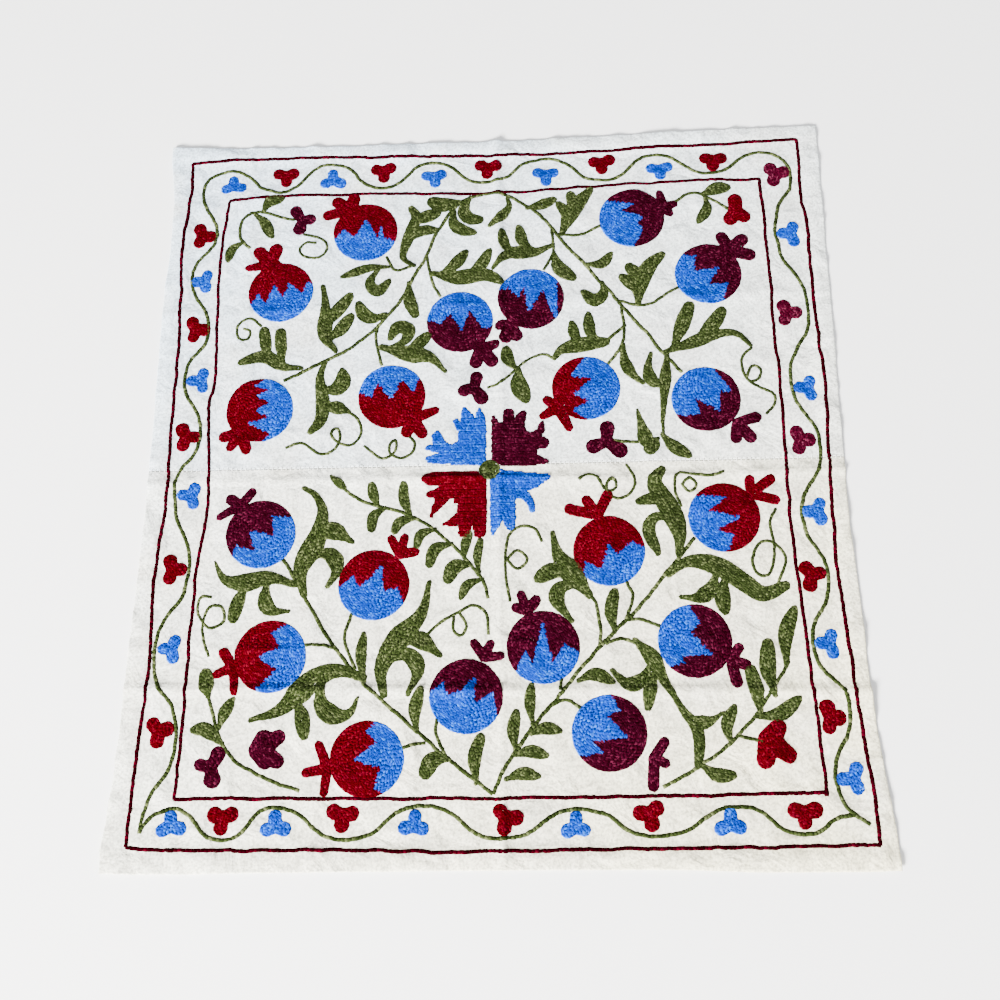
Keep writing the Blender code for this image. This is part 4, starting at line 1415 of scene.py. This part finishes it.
def make_cotton(name, cool, warm, soil_and_shade):
    """Plain-woven cotton, cooler to the top left, with faint grey patches laid at random, partly soil
    and partly painted shade of folds.
    """
    material, tree, shader = new_material(name)
    join = tree.links.new
    place = add_node(tree, "ShaderNodeTexCoord", (-1400, 0))
    parts = add_node(tree, "ShaderNodeSeparateXYZ", (-1200, 200))
    slope = add_node(tree, "ShaderNodeMath", (-1000, 250), operation="SUBTRACT")
    span = add_node(tree, "ShaderNodeMapRange", (-800, 250))
    span.inputs["From Min"].default_value = -0.75
    span.inputs["From Max"].default_value = 0.75
    tint = add_node(tree, "ShaderNodeMix", (-550, 250), data_type="RGBA")
    tint.inputs["A"].default_value = (*cool, 1)
    tint.inputs["B"].default_value = (*warm, 1)
    drift = placed_group(tree, "drift", drift_group, (-1000, 0))
    drift.inputs["Patch size"].default_value = 9.0
    # Patches of grey, partly soil and partly painted shade standing in for the shade of folds
    soil_and_shade_mask = add_node(tree, "ShaderNodeMapRange", (-800, 0))
    soil_and_shade_mask.inputs["From Min"].default_value = 0.46
    soil_and_shade_mask.inputs["From Max"].default_value = 0.70
    soil_and_shade_mask.inputs["To Max"].default_value = 0.85
    soil_and_shade_mix = add_node(tree, "ShaderNodeMix", (-300, 200), data_type="RGBA")
    soil_and_shade_mix.inputs["B"].default_value = (*soil_and_shade, 1)
    join(place.outputs["Object"], parts.inputs["Vector"])
    join(parts.outputs["X"], slope.inputs[0])
    join(parts.outputs["Y"], slope.inputs[1])
    join(slope.outputs[0], span.inputs["Value"])
    join(span.outputs["Result"], tint.inputs["Factor"])
    join(drift.outputs["Drift"], soil_and_shade_mask.inputs["Value"])
    join(soil_and_shade_mask.outputs["Result"], soil_and_shade_mix.inputs["Factor"])
    join(tint.outputs["Result"], soil_and_shade_mix.inputs["A"])
    speck = add_node(tree, "ShaderNodeTexNoise", (-700, 500))
    speck.inputs["Scale"].default_value = 340
    speck.inputs["Detail"].default_value = 3
    thin = add_node(tree, "ShaderNodeMapRange", (-450, 500))
    thin.inputs["From Min"].default_value = 0.34
    thin.inputs["From Max"].default_value = 0.60
    thin.inputs["To Min"].default_value = 0.58
    thin.inputs["To Max"].default_value = 1.0
    slub = add_node(tree, "ShaderNodeMix", (-100, 300), data_type="RGBA", blend_type="MULTIPLY")
    slub.inputs["Factor"].default_value = 1.0
    join(place.outputs["Object"], speck.inputs["Vector"])
    join(speck.outputs["Fac"], thin.inputs["Value"])
    join(soil_and_shade_mix.outputs["Result"], slub.inputs["A"])
    join(thin.outputs["Result"], slub.inputs["B"])
    join(slub.outputs["Result"], shader.inputs["Base Color"])
    weave = weave_height(tree, place)
    rumple = add_node(tree, "ShaderNodeTexNoise", (-900, -500))
    rumple.inputs["Scale"].default_value = 26
    rumple.inputs["Detail"].default_value = 8
    rumple.inputs["Distortion"].default_value = 0.8
    join(place.outputs["Object"], rumple.inputs["Vector"])
    soft = add_node(tree, "ShaderNodeBump", (-350, -350))
    soft.inputs["Strength"].default_value = 0.8
    soft.inputs["Distance"].default_value = 0.0075
    fine = add_node(tree, "ShaderNodeBump", (-150, -250))
    fine.inputs["Strength"].default_value = 0.5
    fine.inputs["Distance"].default_value = 0.00022
    join(rumple.outputs["Fac"], soft.inputs["Height"])
    join(weave.outputs[0], fine.inputs["Height"])
    join(soft.outputs["Normal"], fine.inputs["Normal"])
    join(fine.outputs["Normal"], shader.inputs["Normal"])
    shader.inputs["Roughness"].default_value = 0.93
    shader.inputs["Sheen Weight"].default_value = 0.15
    shader.inputs["Specular IOR Level"].default_value = 0.2
    return material


def weave_height(tree, place):
    """Warp and weft of a plain weave, as a height."""
    waves = []
    for row, direction in enumerate(("X", "Y")):
        wave = add_node(tree, "ShaderNodeTexWave", (-900, -150 - 150 * row))
        wave.bands_direction = direction
        wave.inputs["Scale"].default_value = 520
        wave.inputs["Distortion"].default_value = 1.2
        wave.inputs["Detail"].default_value = 1
        tree.links.new(place.outputs["Object"], wave.inputs["Vector"])
        waves.append(wave)
    both = add_node(tree, "ShaderNodeMath", (-600, -200), operation="MULTIPLY")
    tree.links.new(waves[0].outputs["Fac"], both.inputs[0])
    tree.links.new(waves[1].outputs["Fac"], both.inputs[1])
    return both


# Operators


class SUZANI_OT_cloth(bpy.types.Operator):
    """Lays the two cotton panels, with their folds, puckers, hem and rounded edges"""

    bl_idname = "suzani.cloth"
    bl_label = "Cotton panels"

    def execute(self, context):
        shape = cloth()
        dye = np.array(context.scene.suzani_colours.cotton)
        for node, piece_name, low, high in (
            ("upper_panel", "upper_cloth", SEAM_Y + SEAM_GAP, None),
            ("lower_panel", "lower_cloth", None, SEAM_Y - SEAM_GAP),
        ):
            piece = self.panel(piece_name, shape, low, high)
            tones = [tuple(dye * tone) for tone in COTTONS[node]]
            piece.data.materials.append(make_cotton(f"{piece_name}_cotton", *tones))
            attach(piece, "root")
            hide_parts(node)
        return {"FINISHED"}

    def panel(self, name, shape, low, high):
        """A grid whose outer lines keep to the edges, given its thickness downwards."""
        cell = settings().cloth_cell
        rim, seam_rim = (0.0, 0.0007, 0.0020, 0.0045), (0.0, 0.0015, 0.0035)
        across = spread_lines(shape.low[0], shape.high[0], cell, rim, rim)
        if low is None:
            up = spread_lines(shape.low[1], high, cell, rim, seam_rim)
        else:
            up = spread_lines(low, shape.high[1], cell, seam_rim, rim)
        s, t = np.meshgrid(across, up)
        y = t.copy()
        for _ in range(2):
            x = bowed(s, shape.low[0], shape.high[0], shape.left(y), shape.right(y))
            floor = shape.bottom(x) if low is None else np.full_like(x, low)
            ceiling = shape.top(x) if high is None else np.full_like(x, high)
            y = bowed(t, up[0], up[-1], floor, ceiling)
        inwards = np.minimum.reduce(
            [x - shape.left(y), shape.right(y) - x, y - shape.bottom(x), shape.top(x) - y]
        )
        short_of = 1 - np.clip(inwards / EDGE_ROUND, 0, 1)
        drop = 1 - np.sqrt(np.clip(1 - short_of**2, 0, 1))
        z = shape.height(x, y) - EDGE_DROP * drop
        mesh = bpy.data.meshes.new(name)
        rows, columns = x.shape
        index = np.arange(rows * columns).reshape(rows, columns)
        faces = np.stack(
            [index[:-1, :-1], index[:-1, 1:], index[1:, 1:], index[1:, :-1]], axis=2
        ).reshape(-1, 4)
        mesh.from_pydata(np.stack([x, y, z], axis=2).reshape(-1, 3).tolist(), [], faces.tolist())
        mesh.shade_smooth()
        piece = bpy.data.objects.new(name, mesh)
        bpy.context.scene.collection.objects.link(piece)
        hem = piece.vertex_groups.new(name="hem")
        hem.add(np.flatnonzero(inwards.ravel() < HEM_WIDTH).tolist(), 1.0, "REPLACE")
        solid = piece.modifiers.new("ply", "SOLIDIFY")
        solid.thickness = settings().cloth_ply * HEM_PLIES
        solid.offset = -1.0
        solid.vertex_group = hem.name
        solid.thickness_vertex_group = 1 / HEM_PLIES
        select_none()
        piece.select_set(True)
        bpy.context.view_layer.objects.active = piece
        bpy.ops.object.modifier_apply(modifier=solid.name)
        return piece


def spread_lines(low, high, cell, low_rim, high_rim):
    """Places of a grid's lines: close together at a rim, even between."""
    start, stop = low + low_rim[-1], high - high_rim[-1]
    middle = np.linspace(start, stop, round((stop - start) / cell) + 1)
    return np.concatenate(
        [low + np.array(low_rim[:-1]), middle, (high - np.array(high_rim[:-1]))[::-1]]
    )


def bowed(place, low, high, edge_low, edge_high):
    """Moves lines with the edge that they are near."""
    middle = (low + high) / 2
    share = np.clip((middle - place) / (middle - low), 0, 1) ** 3
    other = np.clip((place - middle) / (high - middle), 0, 1) ** 3
    return place + share * (edge_low - low) + other * (edge_high - high)


class SUZANI_OT_seam(bpy.types.Operator):
    """Sews the panels together with small slanting stitches of white thread"""

    bl_idname = "suzani.seam"
    bl_label = "Centre seam"

    def execute(self, context):
        shape = cloth()
        spacing, length, width, slant = 0.0058, 0.0036, 0.0008, 1.15
        height, margin = 0.0006, 0.004
        stitches = Stitches(11)
        x = np.arange(shape.left(0.0) + margin, shape.right(0.0) - margin, spacing)
        middles = np.column_stack([x, np.full_like(x, SEAM_Y)])
        ahead = np.tile([[math.cos(slant), math.sin(slant)]], (len(x), 1))
        stitches.add("white", middles, ahead, length, width)
        piece = joined_links("seam_thread", stitches.rows["white"], height)
        material, tree, shader = new_material("white_thread")
        drift = placed_group(tree, "drift", drift_group, (-700, 0))
        drift.inputs["Patch size"].default_value = 60.0
        ramp = add_node(tree, "ShaderNodeValToRGB", (-400, 100))
        ramp.color_ramp.elements[0].color = (0.62, 0.61, 0.57, 1)
        ramp.color_ramp.elements[1].color = (0.82, 0.81, 0.78, 1)
        tree.links.new(drift.outputs["Drift"], ramp.inputs["Fac"])
        tree.links.new(ramp.outputs["Color"], shader.inputs["Base Color"])
        shader.inputs["Roughness"].default_value = 0.8
        piece.data.materials.append(material)
        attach(piece, "root")
        return {"FINISHED"}


def line_points(points, jitter_seed=None):
    """A line given in centimetres, as the ends of its links in metres."""
    sizes = settings()
    line = smooth_line(np.array(points) * CM, sizes.line_length)
    if jitter_seed is not None:
        rng = np.random.default_rng(jitter_seed)
        window = 5
        loose = rng.normal(0, LINE_WOBBLE, len(line) + window - 1)
        wobble = np.convolve(loose, np.ones(window) / 2.2, "valid")
        ahead = np.gradient(line, axis=0)
        side = np.column_stack([-ahead[:, 1], ahead[:, 0]])
        side /= np.maximum(np.linalg.norm(side, axis=1), 1e-9)[:, None]
        line = line + side * wobble[:, None]
    return line


class SUZANI_OT_frames(bpy.types.Operator):
    """Works the two dark lines of chain stitch that frame the border"""

    bl_idname = "suzani.frames"
    bl_label = "Frame lines"

    def execute(self, context):
        sizes = settings()
        for seed, ring in enumerate(FRAMES):
            stitches = Stitches(20 + seed)
            corners = ring.corners
            sides = (ring.top, ring.right, ring.bottom, ring.left)
            for number, side in enumerate(sides):
                points = (corners[number], *side, corners[(number + 1) % len(corners)])
                line = line_points(points, 30 + 4 * seed + number)
                stitches.line("dark", line, sizes.line_length, sizes.line_width)
            finish_stitches(stitches, ring.name)
        return {"FINISHED"}


class SUZANI_OT_vine(bpy.types.Operator):
    """Works the vine that waves along the border"""

    bl_idname = "suzani.vine"
    bl_label = "Border vine"

    def execute(self, context):
        sizes = settings()
        stitches = Stitches(40)
        for vine in VINES:
            points = []
            for run in vine:
                points += wave_line(run.points) if run.kind == "wave" else list(run.points)
            line = line_points(points, 41)
            stitches.line("green", line, sizes.line_length, VINE_WIDTH * sizes.line_width)
        finish_stitches(stitches, "border_vine")
        return {"FINISHED"}


class SUZANI_OT_stems(bpy.types.Operator):
    """Works the stems, the branches to the fruits and the curled tendrils"""

    bl_idname = "suzani.stems"
    bl_label = "Stems and tendrils"

    def execute(self, context):
        sizes = settings()
        stitches = Stitches(50)
        number = 51
        for share, lines in (
            (MAIN_STEM_WIDTH, MAIN_STEMS),
            (BRANCH_WIDTH, BRANCHES),
            (SPRIG_STEM_WIDTH, SPRIG_STEMS),
        ):
            for points in lines:
                line = line_points(points, number)
                stitches.line("green", line, sizes.line_length, share * sizes.line_width)
                number += 1
        finish_stitches(stitches, "stems")
        curls = Stitches(51)
        for points in TENDRILS:
            line = line_points(points)
            curls.line("green", line, sizes.line_length, sizes.line_width * TENDRIL_WIDTH)
        finish_stitches(curls, "tendrils", TENDRIL_WIDTH)
        return {"FINISHED"}


def box_of(points, margin):
    places = np.array(points, float)
    low, high = places.min(0) - margin, places.max(0) + margin
    return (*low, *high)


class SUZANI_OT_leaves(bpy.types.Operator):
    """Fills the leaves and their lobes"""

    bl_idname = "suzani.leaves"
    bl_label = "Leaves"

    def execute(self, context):
        stitches = Stitches(60)
        for spray in SPRAYS:
            shape = any_of([leaf_distance(leaf) for leaf in spray])
            points = [point for leaf in spray for point in leaf.points]
            fill_round(stitches, shape, box_of(points, 1.6), always("green"))
        finish_stitches(stitches, "leaves")
        return {"FINISHED"}


def fruit_thread(fruit):
    """Which thread a stitch of a pomegranate takes: a toothed line parts the two."""
    facing = math.radians(fruit.facing)
    rights, ups = np.array(fruit.teeth).T
    ups = ups.mean() + TOOTH_STRETCH * (ups - ups.mean())
    just_outside = 1.02

    def thread_at(x, y):
        x, y = (x - fruit.x) / FRUIT_RADIUS, (y - fruit.y) / FRUIT_RADIUS
        up = x * math.cos(facing) + y * math.sin(facing)
        right = x * math.sin(facing) - y * math.cos(facing)
        if math.hypot(x, y) > just_outside or right < rights[0]:
            return fruit.thread
        return fruit.thread if right > rights[-1] or up > np.interp(right, rights, ups) else "blue"

    return thread_at


def fruit_shapes(fruit):
    """A round fruit, and its crown: a wide neck is part of the fruit, a narrow one is not."""
    middle, root = np.array((fruit.x, fruit.y)), np.array(fruit.root)
    body = disc_distance(fruit.x, fruit.y, FRUIT_RADIUS)
    crown = []
    foot = min(fruit.neck, CROWN_FOOT)
    for x_tip, y_tip, radius in fruit.lobes:
        crown.append(
            lambda x, y, tip=(x_tip, y_tip), r=radius: stroke_distance(x, y, (root, tip), (foot, r))
        )
    if fruit.neck > WIDE_NECK:
        way = (root - middle) / np.linalg.norm(root - middle)
        shoulder = middle + 1.5 * way
        crown.append(
            lambda x, y: stroke_distance(x, y, (shoulder, root), (fruit.neck + 0.7, fruit.neck / 2))
        )
        return [any_of([body, *crown])]
    joined, clearance = any_of(crown), 0.05
    return [body, lambda x, y: np.maximum(joined(x, y), clearance - body(x, y))]


class SUZANI_OT_fruits(bpy.types.Operator):
    """Fills the pomegranates: a toothed line parts two colours, and the crown has three lobes"""

    bl_idname = "suzani.fruits"
    bl_label = "Pomegranates"

    def execute(self, context):
        stitches = Stitches(70)
        crown_room = 4.6
        for fruit in FRUITS:
            box = box_of([(fruit.x, fruit.y)], FRUIT_RADIUS + crown_room)
            for shape in fruit_shapes(fruit):
                fill_round(stitches, shape, box, fruit_thread(fruit))
        finish_stitches(stitches, "pomegranates")
        return {"FINISHED"}


def lobed_shape(heart, foot, lobes):
    strokes = [
        lambda x, y, lobe=lobe: stroke_distance(x, y, (heart, lobe[:2]), (foot, lobe[2]))
        for lobe in lobes
    ]
    return any_of(strokes)


class SUZANI_OT_trefoils(bpy.types.Operator):
    """Fills the three-lobed flowers of the border and the field"""

    bl_idname = "suzani.trefoils"
    bl_label = "Trefoils"

    def execute(self, context):
        stitches = Stitches(80)
        foot, room, field_room = 0.65, 2.6, 1.8
        for flower in BORDER_TREFOILS:
            radius = TREFOIL_RADIUS[flower.thread]
            lobes = []
            for offset in (0, TREFOIL_SPREAD_DEGREES, -TREFOIL_SPREAD_DEGREES):
                turn = math.radians(flower.facing + offset + stitches.rng.uniform(-9, 9))
                out = TREFOIL_REACH * stitches.rng.uniform(0.92, 1.12)
                place = (flower.x + out * math.cos(turn), flower.y + out * math.sin(turn))
                lobes.append((*place, radius * stitches.rng.uniform(0.92, 1.08)))
            heart = (flower.x, flower.y)
            shape = lobed_shape(heart, foot, lobes)
            fill_round(stitches, shape, box_of([heart], room), always(flower.thread))
        finish_stitches(stitches, "border_flowers")
        stitches = Stitches(81)
        for flower in FIELD_FLOWERS:
            shape = lobed_shape(flower.heart, flower.foot, flower.lobes)
            box = box_of([lobe[:2] for lobe in flower.lobes], field_room)
            fill_round(stitches, shape, box, always(flower.thread))
        finish_stitches(stitches, "field_flowers")
        return {"FINISHED"}


class SUZANI_OT_centre(bpy.types.Operator):
    """Fills the four lobed quarters round the centre, and the disc that joins them"""

    bl_idname = "suzani.centre"
    bl_label = "Centre palmettes"

    def execute(self, context):
        stitches = Stitches(90)
        for palmette in PALMETTES:
            shape = self.quarter(palmette)
            corner = (PALMETTE_REACH * palmette.across, PALMETTE_REACH * palmette.up)
            box = box_of([(0, 0), corner], 0.4)
            fill_across(stitches, shape, box, always(palmette.thread))
        disc = CENTRE_DISC
        box = box_of([(disc.x, disc.y)], 2.0)
        fill_round(stitches, disc_distance(*disc), box, always("green"))
        finish_stitches(stitches, "centre")
        return {"FINISHED"}

    def quarter(self, palmette):
        """A lobed quarter with a round notch, straight along both of its inner sides."""
        parts = [
            lambda u, v, wide=wide, high=high: np.maximum(u - wide, v - high)
            for wide, high in palmette.blocks
        ]
        for stroke in palmette.strokes:
            places, radii = [place[:2] for place in stroke], [place[2] for place in stroke]
            parts.append(lambda u, v, p=places, r=radii: stroke_distance(u, v, p, r))
        solid = any_of(parts)
        near, out, notch_radius = palmette.notch
        gap_across, gap_up = palmette.gap
        disc = disc_distance(*CENTRE_DISC)
        widening = 1.1

        def shape(x, y):
            u, v = x * palmette.across, y * palmette.up
            inner = np.maximum(gap_across - u, gap_up + palmette.rise * u - v)
            cut = stroke_distance(u, v, (near, out), (notch_radius, notch_radius * widening))
            return np.maximum.reduce([solid(u, v), inner, -cut, -disc(x, y)])

        return shape


class SUZANI_OT_stage(bpy.types.Operator):
    """Lays a pale floor, and sets soft lights and the camera"""

    bl_idname = "suzani.stage"
    bl_label = "Floor, lights and camera"

    def execute(self, context):
        select_none()
        bpy.ops.mesh.primitive_plane_add(size=8.0, location=(0, 0, -0.0002))
        floor = bpy.context.object
        floor.name = "floor"
        material, _, shader = new_material("pale_floor")
        shader.inputs["Base Color"].default_value = (0.95, 0.95, 0.95, 1)
        shader.inputs["Roughness"].default_value = 0.9
        floor.data.materials.append(material)
        for name, place, size, power, tint in (
            ("key", (-3.0, -4.4, 2.6), 1.5, 3150, (1.0, 0.985, 0.96)),
            ("fill", (1.2, 1.2, 2.6), 2.5, 40, (0.96, 0.98, 1.0)),
        ):
            data = bpy.data.lights.new(name, "AREA")
            data.size, data.energy, data.color = size, power, tint
            light = bpy.data.objects.new(name, data)
            light.location = place
            light.rotation_euler = (-Vector(place)).to_track_quat("-Z", "Y").to_euler()
            bpy.context.scene.collection.objects.link(light)
        world = bpy.context.scene.world or bpy.data.worlds.new("studio")
        bpy.context.scene.world = world
        world.use_nodes = True
        sky = world.node_tree.nodes["Background"]
        sky.inputs["Color"].default_value = (0.97, 0.98, 1.0, 1)
        sky.inputs["Strength"].default_value = 0.8
        data = bpy.data.cameras.new("camera")
        data.lens, data.sensor_width = CAMERA_LENS_MM, 36.0
        camera = bpy.data.objects.new("camera", data)
        camera.location = CAMERA_PLACE
        camera.rotation_euler = Euler([math.radians(turn) for turn in CAMERA_TURN_DEGREES])
        bpy.context.scene.collection.objects.link(camera)
        bpy.context.scene.camera = camera
        return {"FINISHED"}


STEPS = (
    SUZANI_OT_cloth,
    SUZANI_OT_seam,
    SUZANI_OT_frames,
    SUZANI_OT_vine,
    SUZANI_OT_stems,
    SUZANI_OT_leaves,
    SUZANI_OT_fruits,
    SUZANI_OT_trefoils,
    SUZANI_OT_centre,
    SUZANI_OT_stage,
)


class SUZANI_PT_panel(bpy.types.Panel):
    """Lists the sizes, the colours and the steps"""

    bl_label = "Suzani"
    bl_idname = "SUZANI_PT_panel"
    bl_space_type = "VIEW_3D"
    bl_region_type = "UI"
    bl_category = "Suzani"

    def draw(self, context):
        for name in SuzaniSizes.__annotations__:
            self.layout.prop(context.scene.suzani_sizes, name)
        for name in SuzaniColours.__annotations__:
            self.layout.prop(context.scene.suzani_colours, name)
        for step in STEPS:
            self.layout.operator(step.bl_idname)


CLASSES = (SuzaniSizes, SuzaniColours, *STEPS, SUZANI_PT_panel)


def register():
    for item in CLASSES:
        bpy.utils.register_class(item)
    bpy.types.Scene.suzani_sizes = bpy.props.PointerProperty(type=SuzaniSizes)
    bpy.types.Scene.suzani_colours = bpy.props.PointerProperty(type=SuzaniColours)


def unregister():
    del bpy.types.Scene.suzani_colours
    del bpy.types.Scene.suzani_sizes
    for item in reversed(CLASSES):
        bpy.utils.unregister_class(item)


def main():
    register()
    for step in STEPS:
        family, name = step.bl_idname.split(".")
        getattr(getattr(bpy.ops, family), name)()


if __name__ == "__main__":
    main()
